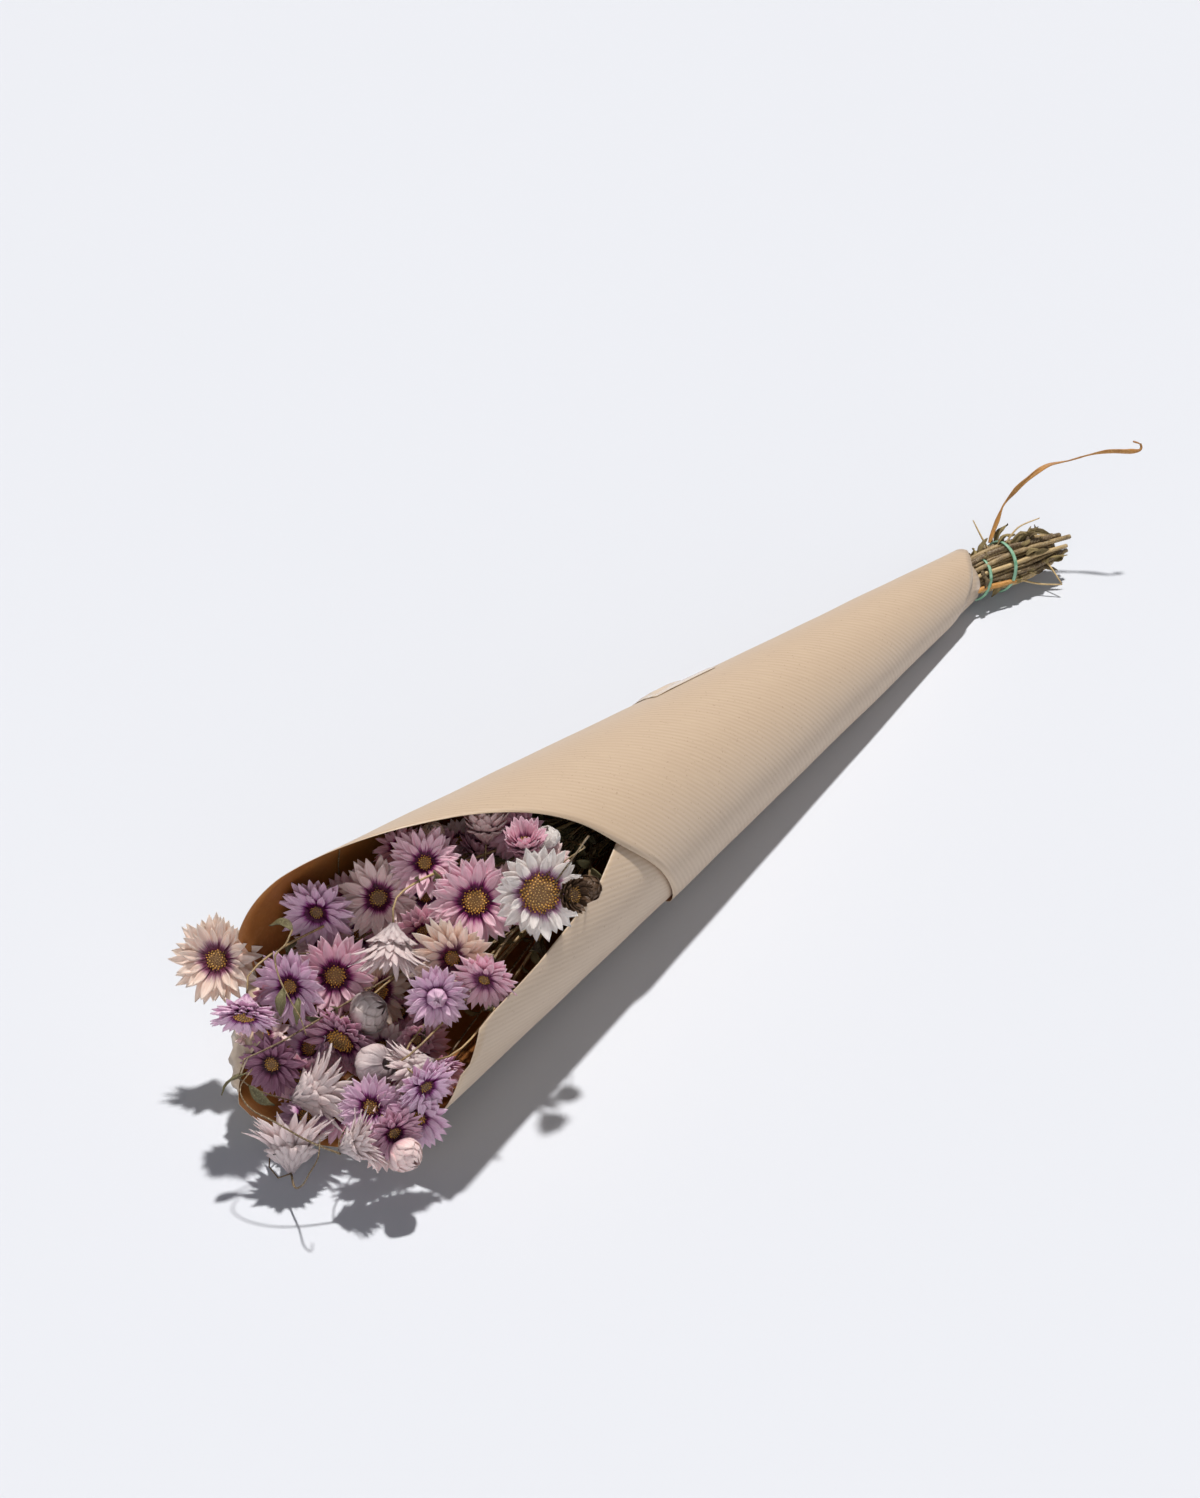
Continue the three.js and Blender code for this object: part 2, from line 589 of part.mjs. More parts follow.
function liftAt(form, radius, reach) {
  return LIFT[form] * radius * (reach / radius) ** 2;
}

function budBody(radius, petals, depth, random) {
  const length = radius * BUD_LENGTH;
  const rings = BUD_RINGS.map(([even, odd, evenHeight, oddHeight, jitter]) => {
    const heights = [evenHeight, oddHeight].map((share) => share * length - depth);
    return ringOf(petals, even * radius, odd * radius, ...heights, jitter, random);
  });
  return loft(rings, v(0, 0, -depth), v(0, 0, BUD_TOP * length - depth));
}

function headBody(head, seed) {
  const [name, , , , , , radius, disc, petals, form] = head;
  const random = seeded(seed);
  const depth = headDepth(head);
  if (form === "bud") return budBody(radius, petals, depth, random);
  const even = (reach, height) => ringOf(petals, reach, reach, height, height, 0, random);
  const lower = form === "back" ? [CALYX_RING, ...OUTER_BRACT_RINGS] : [CALYX_RING];
  const petalRings = [...lower, WIDE_RING, ...INNER_BRACT_RINGS].map((row) => {
    const [evenRadius, oddRadius, evenHeight, oddHeight, jitter] = row;
    const sizes = [evenRadius, oddRadius, evenHeight, oddHeight].map((share) => share * radius);
    return ringOf(petals, ...sizes, jitter, random);
  });
  const top = radius * DISC_LEVEL;
  const split = SPLIT_DISCS.includes(name);
  const rim = disc + SEAT_MARGIN;
  const florets = split
    ? even(rim, top - SEAT_DEPTH)
    : ringOf(petals, disc * 0.75, disc * 0.9, top + disc * 0.5, top + disc * 0.3, 0, random);
  const lifted = [...petalRings, even(rim + CLEARANCE, top + CLEARANCE), florets];
  lifted.flat().forEach((p) => {
    p.z += liftAt(form, radius, Math.hypot(p.x, p.y));
  });
  const centre = split ? top - SEAT_DEPTH + liftAt(form, radius, rim) : top + disc * 0.55;
  const rings = [even(NECK_RADIUS, -depth), ...lifted];
  return loft(rings, v(0, 0, -depth), v(0, 0, centre), lower.length + 1);
}

function discBody(head, seed) {
  const [, , , , , , radius, disc] = head;
  const random = seeded(seed);
  const seat = radius * DISC_LEVEL - SEAT_DEPTH + liftAt("open", radius, disc + SEAT_MARGIN) + CLEARANCE;
  const rings = DISC_RINGS.map(([even, odd, evenHeight, oddHeight, jitter], level) => {
    const base = level === 0 ? seat : seat + DISC_RIM_HEIGHT;
    const heights = [evenHeight, oddHeight].map((share) => base + share * disc);
    return ringOf(DISC_SIDES, even * disc, odd * disc, ...heights, jitter, random);
  });
  return loft(rings, v(0, 0, seat), v(0, 0, seat + DISC_RIM_HEIGHT + DISC_TOP * disc));
}

function placeHead(geometry, head, spin) {
  const { centre, facing } = headFrame(head);
  geometry.rotateZ(spin);
  const turn = new THREE.Quaternion().setFromUnitVectors(v(0, 0, 1), facing);
  geometry.applyQuaternion(turn);
  geometry.translate(centre.x, centre.y, centre.z);
  return geometry;
}

// Long twisted strap leaf at the stem end: [x, y, z, half width, twist]
const STRAP = [
  [-229.5, 2.5, 23.2, 0.8, 0], [-232, 1.8, 25.5, 1.3, 10], [-238.5, 0.4, 31, 1.9, 30], [-245, 0, 36.3, 1.3, 70],
  [-251.5, 1.5, 41, 1.7, 110], [-259, 5, 45.8, 1.1, 150], [-267, 10, 50.2, 1.7, 190], [-275, 18, 52.3, 1.2, 230],
  [-281.5, 25, 55, 0.9, 260], [-286.5, 33, 57, 1.7, 290], [-291, 41, 58, 1.5, 310], [-295.6, 44.6, 58.4, 0.7, 320],
  [-296.6, 44, 60.2, 0.6, 330], [-294.6, 40.6, 61.8, 0.7, 340],
];
const STRAP_THICKNESS = 0.9;

function strapLeaf(margin) {
  const points = STRAP.map(([x, y, z]) => v(x, y, z));
  const widths = STRAP.map(([, , , width]) => width + margin);
  const sides = STRAP.map(([, , , , twist]) =>
    v(0, Math.cos(twist * DEG), 0).addScaledVector(v(0.6, 0, 0.8), Math.sin(twist * DEG)),
  );
  return blade(points, widths, sides, STRAP_THICKNESS + 2 * margin);
}

// Side twigs between the heads, each thin and open-ended
const TWIGS = [
  [[291, 11, 12], [295.5, 14.5, 10.5], [298, 21, 17], [300, 27, 28], [298, 30, 36], [293, 27, 40]],
  [[284, 28.5, 26.4], [291, 19, 33], [296, 8, 40], [298, -3, 43], [295, -10, 46], [285, -12.6, 47.6]],
  [[112, 2, 56], [138, 33, 82], [146, 38, 88], [152, 36, 86.5], [156, 33, 83]],
];
const TWIG_RADIUS = 0.6;
// Small ovate leaves on the stems: [root, middle, tip, half width]
const LEAVES = [
  [[287, -12.8, 46.9], [294, -16.5, 45], [298, -17, 41.5], 2.4],
  [[288.5, -11.5, 42.5], [288, -6, 39], [285.5, -2, 35.5], 2.2],
  [[262, -10, 54.2], [259, -11, 60], [256, -14, 62], 2.2],
  [[208.5, 41.5, 51], [205, 38, 47], [200, 36.5, 45.5], 2.4],
  [[183, 41, 63.5], [178, 39, 60], [172, 36, 58.5], 2.2],
  [[154, 40.5, 71], [149, 35, 72], [146, 29, 71], 2.4],
];

const WITHERED_THICKNESS = 1;
const LEAF_THICKNESS = 0.9;

function largestBody(solid) {
  return solid.decompose().sort((a, b) => b.volume() - a.volume())[0];
}

// The solid with its corners on a fine grid
function onGrid(solid) {
  let tidy = solid.asOriginal().simplify(CORNER_GRID);
  for (let round = 0; round < GRID_ROUNDS; round++) {
    tidy = tidy.warp((corner) => {
      for (let axis = 0; axis < 3; axis++) {
        corner[axis] = Math.round(corner[axis] / CORNER_GRID) * CORNER_GRID;
      }
    });
    tidy = tidy.asOriginal().simplify(CORNER_GRID);
  }
  return largestBody(tidy);
}

// All stems, leaves and straws as one body, with room for the rubber bands and the strap leaf
function stemBunch() {
  const bodies = [bunchCore()];
  BARE_STEMS.forEach((row, index) => bodies.push(bareStem(row, index)));
  WITHERED.forEach(([root, middle, tip, width], index) => {
    const points = [root, middle, tip].map((p) => v(...p));
    const side = v(Math.cos(index * 1.3), Math.sin(index * 1.3), 0.4);
    bodies.push(blade(points, [width * 0.5, width, width * 0.4], side, WITHERED_THICKNESS));
  });
  STRAWS.forEach((row) => bodies.push(stemThrough(smoothSpots(row.map((p) => v(...p)), 4), STRAW_RADIUS, 4)));
  HEADS.forEach((head) => bodies.push(branch(head)));
  TWIGS.forEach((row) => bodies.push(stemThrough(row.map((p) => v(...p)), TWIG_RADIUS, 4)));
  LEAVES.forEach(([root, middle, tip, width], index) => {
    const side = v(Math.cos(index * 2.1), Math.sin(index * 2.1), 0.3);
    bodies.push(blade([root, middle, tip].map((p) => v(...p)), [0.5, width, 0.5], side, LEAF_THICKNESS));
  });
  let solid = solidOf(bodies[0]);
  bodies.slice(1).forEach((body) => {
    solid = solid.add(solidOf(body));
  });
  BANDS.forEach((band) => {
    solid = solid.subtract(solidOf(bandRing(band, CLEARANCE)));
  });
  solid = solid.subtract(solidOf(strapLeaf(CLEARANCE)));
  return geometryFrom(onGrid(largestBody(solid)));
}

addNode("paper_wrap", paperWrap(), paperMaterial);
addNode("closing_tape", closingTape(), tapeMaterial);
addNode("stem_bunch", stemBunch(), stemMaterial);
addNode("strap_leaf", strapLeaf(0), leafMaterial);
BANDS.forEach((band, index) => addNode("rubber_band_" + (index + 1), bandRing(band, 0), bandMaterial));
HEADS.forEach((head, index) => {
  const [name, , , , , , , , , form] = head;
  const spin = seeded(index + 100)() * Math.PI;
  const material = form === "back" || form === "bud" ? silverMaterial : pinkMaterial;
  addNode("head_" + name, placeHead(headBody(head, index + 1), head, spin), material);
  if (SPLIT_DISCS.includes(name)) {
    addNode("disc_" + name, placeHead(discBody(head, index + 500), head, spin), discMaterial);
  }
});

export default bunch;
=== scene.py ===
"""Dried rhodanthe in a paper cone: its paper, tape, bands, stems, leaves and flower heads."""

import random
from collections import namedtuple
from math import atan2, cos, degrees, pi, radians, sin, sqrt, tan, tau

import bmesh
import bpy
from mathutils import Matrix, Quaternion, Vector, noise


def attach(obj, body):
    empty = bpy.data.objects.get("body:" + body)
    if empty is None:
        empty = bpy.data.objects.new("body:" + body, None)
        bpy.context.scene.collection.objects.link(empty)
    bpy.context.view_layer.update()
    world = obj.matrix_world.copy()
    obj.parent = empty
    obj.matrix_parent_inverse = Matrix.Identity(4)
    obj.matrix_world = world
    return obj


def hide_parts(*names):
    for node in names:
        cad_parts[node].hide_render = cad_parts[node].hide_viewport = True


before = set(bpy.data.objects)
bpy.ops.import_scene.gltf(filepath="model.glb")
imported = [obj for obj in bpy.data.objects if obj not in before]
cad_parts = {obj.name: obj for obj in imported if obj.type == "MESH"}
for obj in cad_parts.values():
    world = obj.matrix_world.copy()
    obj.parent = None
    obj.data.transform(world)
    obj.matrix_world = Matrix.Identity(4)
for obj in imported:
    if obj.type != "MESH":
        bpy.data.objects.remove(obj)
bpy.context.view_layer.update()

bl_info = {
    "name": "Dried rhodanthe bunch",
    "version": (1, 0, 0),
    "blender": (4, 5, 0),
    "location": "View3D > Sidebar > Rhodanthe",
    "description": "Models a bunch of dried rhodanthe in a cone of ribbed kraft paper",
    "category": "Object",
}

MM = 0.001

# Each random.Random below has a seed of its own, so every run gives the same bunch.

# Paper cone, in millimetres from its apex and in degrees of roll. The roll is 0 at the top and
# grows towards the camera's side, and the sheet runs inwards from its first turn to its last.
CONE_HALF_ANGLE = radians(5.47)
CONE_AXIS = Vector((cos(CONE_HALF_ANGLE), 0, sin(CONE_HALF_ANGLE)))
CONE_RISE = Vector((-sin(CONE_HALF_ANGLE), 0, cos(CONE_HALF_ANGLE)))
APEX = Vector((-350, 0, -0.4))
FIRST_TURN = 320
HALF_SPAN = 325  # half the degrees from the first turn to the last
PAPER_GRID = (324, 64)
SHEET_DEPTH = 0.4  # of the middle surface below the outer face
TURN_STEP = 1.2  # how far each turn of the roll lies inside the one before
REFERENCE_TURN = 40  # turn at which the sheet lies on the nominal cone
WAVE_LENGTH = 34  # of the soft waves in the paper
WAVE_DEPTH = 0.3
# Edges of the sheet at the mouth and at the stem end: degrees of roll, distance from the apex
RIM = [
    (320, 369), (280, 377), (240, 387), (200, 399), (160, 414), (120, 433), (80, 454), (52, 475),
    (32, 488), (15, 503), (-2, 524), (-16, 547), (-32, 570), (-50, 591), (-78, 603), (-85, 600),
    (-92, 598), (-100, 601), (-120, 619), (-150, 629), (-170, 621), (-200, 610), (-240, 601),
    (-279, 585), (-283, 546), (-295, 497), (-308, 475), (-330, 430),
]
SHARP_FROM = -262  # the rim is drawn with straight lines and sharp corners past this turn
FOOT = [
    (320, 360), (300, 334), (280, 303), (260, 278), (240, 255), (220, 237), (200, 221), (180, 207),
    (160, 196), (140, 185), (120, 176), (100, 168), (69, 157), (39, 149), (-4, 138), (-42, 136),
    (-60, 146), (-330, 146),
]
# How far the mouth is pressed in on the side away from the light: degrees of roll, depth
DENT = [
    (320, 0), (-20, 0), (-50, 1), (-78, 4), (-92, 9), (-125, 11), (-150, 8), (-178, 2), (-330, 2),
]
DENT_START = 300
DENT_SPAN = 320
DENT_END_TURN = -178
# The near left corner of the sheet, folded in
FOLD_FROM = -90
FOLD_TO = -150
FOLD_PEAK = -120
FOLD_LENGTH = 23
FOLD_ANGLE = radians(95)
FOLD_RADIUS = 1.6
# The inner turn comes down to the floor between these distances
SAG_START = 418
SAG_END = 615
# Tape over the outer corner of the sheet
TAPE_TURNS = (-56, -26)
TAPE_DISTANCES = (335, 378)
TAPE_GRID = (44, 24)
TAPE_LIFT = 0.42  # of the tape's middle over the sheet's
TAPE_WALL = 0.12
TAPE_RISE = (-3.0, 3.6)  # the tape rises over the sheet's edge from here, over this length
ARC_PER_DEGREE = 0.6  # millimetres round the cone for a degree of roll, at the tape

# Stem bunch: x, y, z and radius along its middle
BUNCH = [
    (-253, 21.5, 14, 6.5), (-246, 18, 14, 9), (-236, 13.5, 13.8, 10.6), (-224, 8.5, 13.6, 10.6),
    (-213, 4, 13.6, 9), (-203, 1.5, 14, 8.2), (-190, 0.5, 15, 8.2), (-120, 0, 21.8, 9),
    (-20, 0, 31.4, 11), (60, 0, 39, 13), (112, -4, 44, 16),
]
BUNCH_END = -253
LONGEST_END = -262  # x of the cut ends
SHORTEST_END = -246
TAIL_STATIONS = (-226, -206, -150, -60, 30)
# Cut stems on the outside of the bunch: degrees round it, x of the cut end, radius
BARE_STEMS = [
    (8, -259, 1.7), (34, -262, 1.5), (62, -258, 1.3), (88, -255, 1.5), (112, -250, 1.2),
    (140, -252, 1.3), (168, -246, 1.1), (200, -250, 1.4), (228, -247, 1.1), (258, -252, 1.4),
    (286, -256, 1.2), (318, -252, 1.4), (345, -257, 1.6),
]
BARE_STATIONS = (-240, -226, -212, -196, -150, -90)
# Rubber bands: x, y, z, radius, degrees of lean, degrees of turn
BANDS = [(-227, 9.8, 13.8, 12.2, -16, -22), (-212.5, 5.2, 12.6, 10.6, -26, -18)]
BAND_WIDTH = 2.1
BAND_THICKNESS = 1.0
BAND_SIDES = 12
BAND_STEPS = 72
# Withered leaves on the cut stems: root, middle, tip, half width
WITHERED = [
    ((-226, 7, 22), (-234, 7, 27), (-239, 11, 26), 2.6),
    ((-232, 10, 22), (-240, 13, 28), (-246, 14, 25), 2.8),
    ((-238, 13, 21), (-246, 18, 27), (-251, 24, 25), 2.2),
    ((-214, 9, 19), (-209, 13, 18), (-206, 15, 14), 2.4),
    ((-222, 14, 16), (-215, 17, 12), (-211, 16, 7), 2.6),
    ((-238, 22, 15), (-246, 27, 11), (-252, 29, 6), 2.2),
    ((-232, 4, 20), (-238, 1, 25), (-244, 4, 27), 2.4),
    ((-240, 8, 10), (-248, 7, 6), (-253, 11, 3), 2.4),
]
WITHERED_ZONE = (-252, -200)  # x of the loose leaves that join them
WITHERED_TURNS = (-150, 110)  # and their degrees round the bunch
# Straws that stick out round the bands
STRAWS = [
    [(-226, 4.5, 21), (-226, 0, 27), (-227, -6, 34)],
    [(-230, 9, 21), (-238, 12.5, 31), (-247, 19, 34.5)],
    [(-247, 20, 16), (-244, 31, 10), (-242, 37, 6)],
    [(-232, 18, 7), (-237, 28, 5.5), (-242, 37, 6)],
]
# Side twigs between the heads: tone from dark to light, spots
TWIGS = [
    (0.0, [(292.4, 10.5, 12.3), (295.5, 14.5, 10.5), (298, 21, 17), (300, 27, 28), (298, 30, 36),
           (293, 27, 40)]),
    (0.0, [(284, 28.5, 26.4), (291, 19, 33), (296, 8, 40), (298, -3, 43), (295, -10, 46),
           (285, -12.6, 47.6)]),
    (0.3, [(112, 2, 56), (138, 33, 82), (146, 38, 88), (152, 36, 86.5), (156, 33, 83)]),
    (0.2, [(240, -29.6, 76.8), (246, -28.1, 74.1), (252, -27.9, 73.2), (256, -23.3, 68.4),
           (260, -14.3, 63.3), (262, -7.9, 59.1), (264, -3.6, 54.3)]),
    (0.1, [(186, -34, 74), (192, -46, 63), (196, -44, 72), (200, -39, 87)]),
]
# Small leaves between the heads: root, middle, tip, half width
LEAVES = [
    ((287, -12.8, 46.9), (294, -16.5, 45), (298, -17, 41.5), 2.4),
    ((288.5, -11.5, 42.5), (288, -6, 39), (285.5, -2, 35.5), 2.2),
    ((262, -10, 54.2), (259, -11, 60), (256, -14, 62), 2.2),
    ((208.5, 41.5, 51), (205, 38, 47), (200, 36.5, 45.5), 2.4),
    ((183, 41, 63.5), (178, 39, 60), (172, 36, 58.5), 2.2),
    ((154, 40.5, 71), (149, 35, 72), (146, 29, 71), 2.4),
    ((240, -29.6, 76.8), (239, -36, 76), (240, -41.5, 73), 2.6),
    ((258, -19, 66), (262, -17, 62), (264, -16, 57), 2.2),
]
# Dry orange leaf stalk that lies across the bands: x, y, z, half width
STALK = [
    (-200.5, 10.9, 12.6, 0.9), (-208.5, 14.2, 13, 1.1), (-215.5, 17, 12, 1.2), (-221, 20, 12, 1.0),
    (-228, 21.8, 9.6, 0.5),
]
STALK_STEPS = 24
# Long twisted strap leaf: x, y, z, half width, degrees of twist
STRAP = [
    (-229.5, 2.5, 23.2, 0.8, 0), (-232, 1.8, 25.5, 1.3, 10), (-238.5, 0.4, 31, 1.9, 30),
    (-245, 0, 36.3, 1.3, 70), (-251.5, 1.5, 41, 1.7, 110), (-259, 5, 45.8, 1.1, 150),
    (-267, 10, 50.2, 1.7, 190), (-275, 18, 52.3, 1.2, 230), (-281.5, 25, 55, 0.9, 260),
    (-286.5, 33, 57, 1.7, 290), (-291, 41, 58, 1.5, 310), (-295.6, 44.6, 58.4, 0.7, 320),
    (-296.6, 44, 60.2, 0.6, 330), (-294.6, 40.6, 61.8, 0.7, 340),
]
STRAP_STEPS = 8  # in each stretch between two rows
STRAP_NARROWING = 0.85

# Line of sight of the camera, which the head angles refer to
TO_VIEWER = Vector((0.6503, 0.4795, 0.5892))
VIEWER_RIGHT = Vector((-0.5934, 0.8049, 0))
VIEWER_UP = Vector((-0.4742, -0.3496, 0.808))

# Flower heads: right and up are the degrees by which a head looks past the viewer, disc is the
# radius of its florets, ring the strength of the dark ring and golden the ripeness of the florets
Head = namedtuple("Head", "name x y z right up radius disc form tint ring golden")
HEAD_ROWS = [
    ("open_01", 251, -60, 54.5, -5, 0, 17, 5.2, "open", "peach", 0.6, 0.45),
    ("open_02", 218, -36.5, 68.5, -10, -30, 15, 3.2, "open", "lilac", 0.8, 0.15),
    ("open_03", 198, -22, 69, 0, 5, 16, 4.4, "open", "blush", 0.95, 0.3),
    ("open_04", 184, 15, 76, 0, -5, 18, 6, "open", "pink", 0.85, 0.75),
    ("open_05", 172, 37, 83, 10, -10, 18, 9, "open", "white", 0.5, 0.5),
    ("open_06", 228, -20, 51, 5, -10, 16.5, 5.2, "open", "pink", 1.0, 0.65),
    ("open_07", 246.5, -26, 55.5, -20, -15, 14.5, 3.6, "open", "lilac", 0.75, 0.7),
    ("open_08", 270.5, -28.5, 56.5, -10, -65, 13.5, 4.8, "open", "lilac", 0.7, 0.45),
    ("open_09", 212.5, -12, 36.5, 45, -10, 15, 4.5, "open", "peach", 0.7, 0.8),
    ("cup_10", 207, 22, 66.5, -10, -10, 17.5, 3.4, "funnel", "peach", 0.6, 0.6),
    ("back_11", 221, 3.5, 72, -20, -80, 16, 3, "back", "silver", 0.0, 0.4),
    ("open_12", 223, 26.5, 60.5, 5, -10, 12, 4, "open", "lilac", 0.45, 0.0),
    ("bud_13", 234, 2, 48, 60, 20, 8, 0, "bud", "mauve", 0, 0),
    ("open_14", 244.5, -3.5, 39, -30, -40, 16, 6.5, "open", "dusky", 0.8, 0.6),
    ("cup_15", 228, 20, 39, 0, 0, 10, 2.5, "cup", "pink", 0.5, 0.4),
    ("back_16", 243, 32, 42, -100, -20, 13, 2.5, "back", "silver", 0.0, 0.4),
    ("bud_17", 249, 17, 39, -140, -10, 8, 0, "bud", "silver", 0, 0),
    ("back_18", 266, 1, 29, 110, 15, 17, 3, "back", "silver", 0.6, 0.4),
    ("back_19", 286, 5, 18, 10, 110, 17, 3, "back", "silver", 0.7, 0.4),
    ("cup_20", 278, 31.5, 29, 95, 20, 12, 2.5, "back", "silver", 0.5, 0.3),
    ("bud_21", 270.7, 49.2, 27.2, 60, -30, 6.5, 0, "bud", "blush", 0, 0),
    ("open_22", 262.5, 25.5, 32.5, 0, 0, 12, 3.5, "open", "lilac", 1.0, 0.5),
    ("open_23", 252, 43.5, 45.5, 40, -30, 12, 3, "open", "lilac", 0.8, 0.1),
    ("open_24", 267, 40, 31.5, 30, -30, 11.5, 3, "open", "dusky", 0.8, 0.2),
    ("cup_25", 234.5, 39, 37.5, 60, -20, 9, 2.5, "cup", "lilac", 0.5, 0.3),
    ("open_26", 183, -10.5, 82, 0, 10, 14, 3.6, "open", "pink", 0.9, 0.8),
    ("open_27", 177.5, -28, 78, -30, 40, 10.5, 3, "open", "rose", 0.8, 0.3),
    ("bud_28", 167, -19.5, 83, -20, 40, 4.5, 0, "bud", "peach", 0, 0),
    ("cup_29", 153.5, -3.5, 85.5, 0, 75, 13, 3, "cup", "blush", 0.5, 0.3),
    ("cup_30", 162.5, -18, 75.5, 0, 30, 8, 2.5, "cup", "rose", 0.6, 0.3),
    ("bud_31", 149, 23, 89, 0, 60, 5, 0, "bud", "white", 0, 0),
    ("cup_32", 159, 20, 91, 0, 50, 12, 3, "cup", "pink", 0.5, 0.3),
    ("cup_33", 149, -11.5, 68, 20, 60, 11, 3, "cup", "rose", 0.5, 0.3),
    ("open_35", 197.5, -1, 63, 20, -35, 13, 3.2, "open", "pink", 0.9, 0.4),
    ("open_36", 217, -34.5, 50.5, 0, -5, 13, 3.5, "open", "blush", 0.8, 0.75),
    # Painted shade: this head is darkened for the shade it sits in behind the flap
    ("open_38", 268, -18, 35.5, -20, -20, 13, 3.6, "open", "wine", 0.7, 0.4),
    # Withered brown heads, painted darker still for the shade they sit in at the right
    ("cup_39", 171.5, 52.3, 88.8, 40, 0, 9.5, 4, "cup", "withered", 0.2, 0.2),
    ("seed_40", 157.5, 49.5, 81.5, 0, 0, 5, 0, "bud", "withered", 0, 0),
    ("back_44", 209, 39, 66, -20, -35, 13, 2.5, "open", "pink", 0.5, 0.4),
]
HEADS = [Head(*row) for row in HEAD_ROWS]
# Heads whose florets stand for a CAD node of their own
SPLIT_DISCS = {
    "open_01", "open_02", "open_03", "open_04", "open_05", "open_06", "open_07", "open_08",
    "open_09", "open_12", "open_14", "open_22", "open_26",
}
# Heads whose middle is closed by a knob of bracts
CLOSED_MIDDLES = {"open_12"}
# Way of each stem between the bunch and its head, where it isn't the plain one
DETOURS = {
    "open_01": [(225.5, -23.5, 61), (242, -46, 57), (243, -62, 48)],
    "back_18": [
        (188.5, -5.5, 43), (241.5, -7.5, 50), (275, -12, 51.5), (284, -15, 52), (291, -16, 49.5),
        (290, -12, 44), (281.5, -8.5, 34.5),
    ],
    "back_19": [(255, -6, 12), (284, -8, 8), (293, 2, 7)],
    "cup_20": [(223, 24.5, 18), (262, 18, 24)],
    "bud_21": [(237.5, 29, 21.5), (262, 36, 20)],
    "bud_28": [(135, -7, 73.5), (158, -23, 86.5), (164, -17, 75)],
    "cup_39": [(159, 45.5, 98.5), (171, 40.5, 82.5)],
}
STEM_SIDES = 6
STEM_REST = 2.4  # lowest height of a stem's middle
# Kinds of stem: points along it, radius at its root, radius at its tip
LEAFY_STEM = (40, 0.95, 0.3)
STRAW = (16, 0.6, 0.3)
TWIG = (30, 0.45, 0.25)
HEAD_STEM_POINTS = (22, 26)  # inside the bunch, and from there to the head
HEAD_STEM_RADII = (1.05, 0.4)
THIN_STEM_RADII = (1.05, 0.28)
BARE_STEM_POINTS = 26
BARE_STEM_SHARE = 0.78  # drawn radius as a share of the solid's, which the table holds
LEAFY_ROOT = 100  # x where a stem without a head leaves the bunch
LEAFY_STATION = 108  # x at which the bunch's radius spreads these stems
LEAFY_TIPS = (135, 205)
LEAFY_ZONE = (95, 262)  # the small leaves grow between these x
BRANCH_START = 96  # x where the stems leave the bunch
BRANCH_APPROACH = 9  # length of the straight piece behind a head
NECK_GAP = 0.3
FLOOR_CLEARANCE = 0.6

# Outlines of a bract and of a leaf: share of the length, share of the half width
BRACT_OUTLINE = [
    (0, 0.45), (0.25, 0.75), (0.45, 0.97), (0.55, 1), (0.7, 0.84), (0.8, 0.6), (0.9, 0.32),
    (1, 0.01),
]
LEAF_OUTLINE = [
    (0, 0.12), (0.12, 0.5), (0.32, 0.95), (0.5, 1), (0.75, 0.7), (0.92, 0.28), (1, 0.04),
]
LEAF_STEPS = 8
BRACT_GRID = (4, 8)
BRACT_WALL = 0.14
BRACT_MARKS = ("along", "across", "hue", "ring")
FLORET_MARKS = ("along", "tone", "gold")
# Layers of a head from the outside in: share of the length, degrees of rise at the foot, degrees
# of curl, height of the foot, width, cup, how many. Heights and widths are shares of the radius.
FORM_LAYERS = {
    "open": [
        (0.88, -4, 8, -0.12, 0.3, 0.3, 12), (1.08, 2, 9, -0.05, 0.28, 0.35, 14),
        (1.08, 8, 7, -0.02, 0.27, 0.4, 14), (0.97, 14, 5, 0.01, 0.24, 0.4, 13),
        (0.74, 19, 5, 0.03, 0.2, 0.4, 10),
    ],
    "cup": [
        (0.7, 20, 35, -0.22, 0.36, 0.5, 10), (1.0, 34, 30, -0.14, 0.32, 0.6, 11),
        (1.0, 42, 24, -0.08, 0.3, 0.6, 11), (0.86, 50, 20, -0.02, 0.26, 0.6, 10),
        (0.66, 58, 20, 0.02, 0.22, 0.6, 8),
    ],
    "funnel": [
        (0.78, 8, 12, -0.14, 0.28, 0.4, 11), (1.02, 16, 7, -0.07, 0.25, 0.45, 14),
        (1.04, 24, 5, -0.03, 0.23, 0.5, 14), (0.9, 34, 4, 0.01, 0.2, 0.5, 12),
        (0.65, 46, 4, 0.03, 0.17, 0.5, 9),
    ],
    "back": [
        (0.55, 30, 16, -0.34, 0.28, 0.5, 10), (0.85, 42, 0, -0.28, 0.24, 0.45, 13),
        (1.05, 42, -12, -0.22, 0.21, 0.4, 14), (1.22, 41, -17, -0.16, 0.19, 0.4, 15),
        (1.24, 47, -15, -0.1, 0.18, 0.4, 14), (1.05, 55, -8, -0.04, 0.18, 0.45, 12),
    ],
}
FULL_RADIUS = 11  # smaller heads have two bracts fewer in each layer
# Smaller heads that fill the gap behind two heads, where these stand at such a distance
PAIR_DISTANCE = (15, 38)
BETWEEN_SPACING = 11.5
BETWEEN_DEPTH = 8  # how far behind the other heads, and inside the paper
# Layers of these heads: share of the length, rise, how many
BETWEEN_LAYERS = [(1.05, 4, 12), (1.0, 12, 12), (0.8, 22, 9)]
BETWEEN_TINTS = ("pink", "blush", "lilac", "rose")
# Rows of a knob that closes a head's middle: share of the disc's radius, length, rise, curl
KNOB_ROWS = [(0.88, 1.45, 70, 110), (0.6, 1, 85, 90), (0.35, 0.65, 95, 70)]
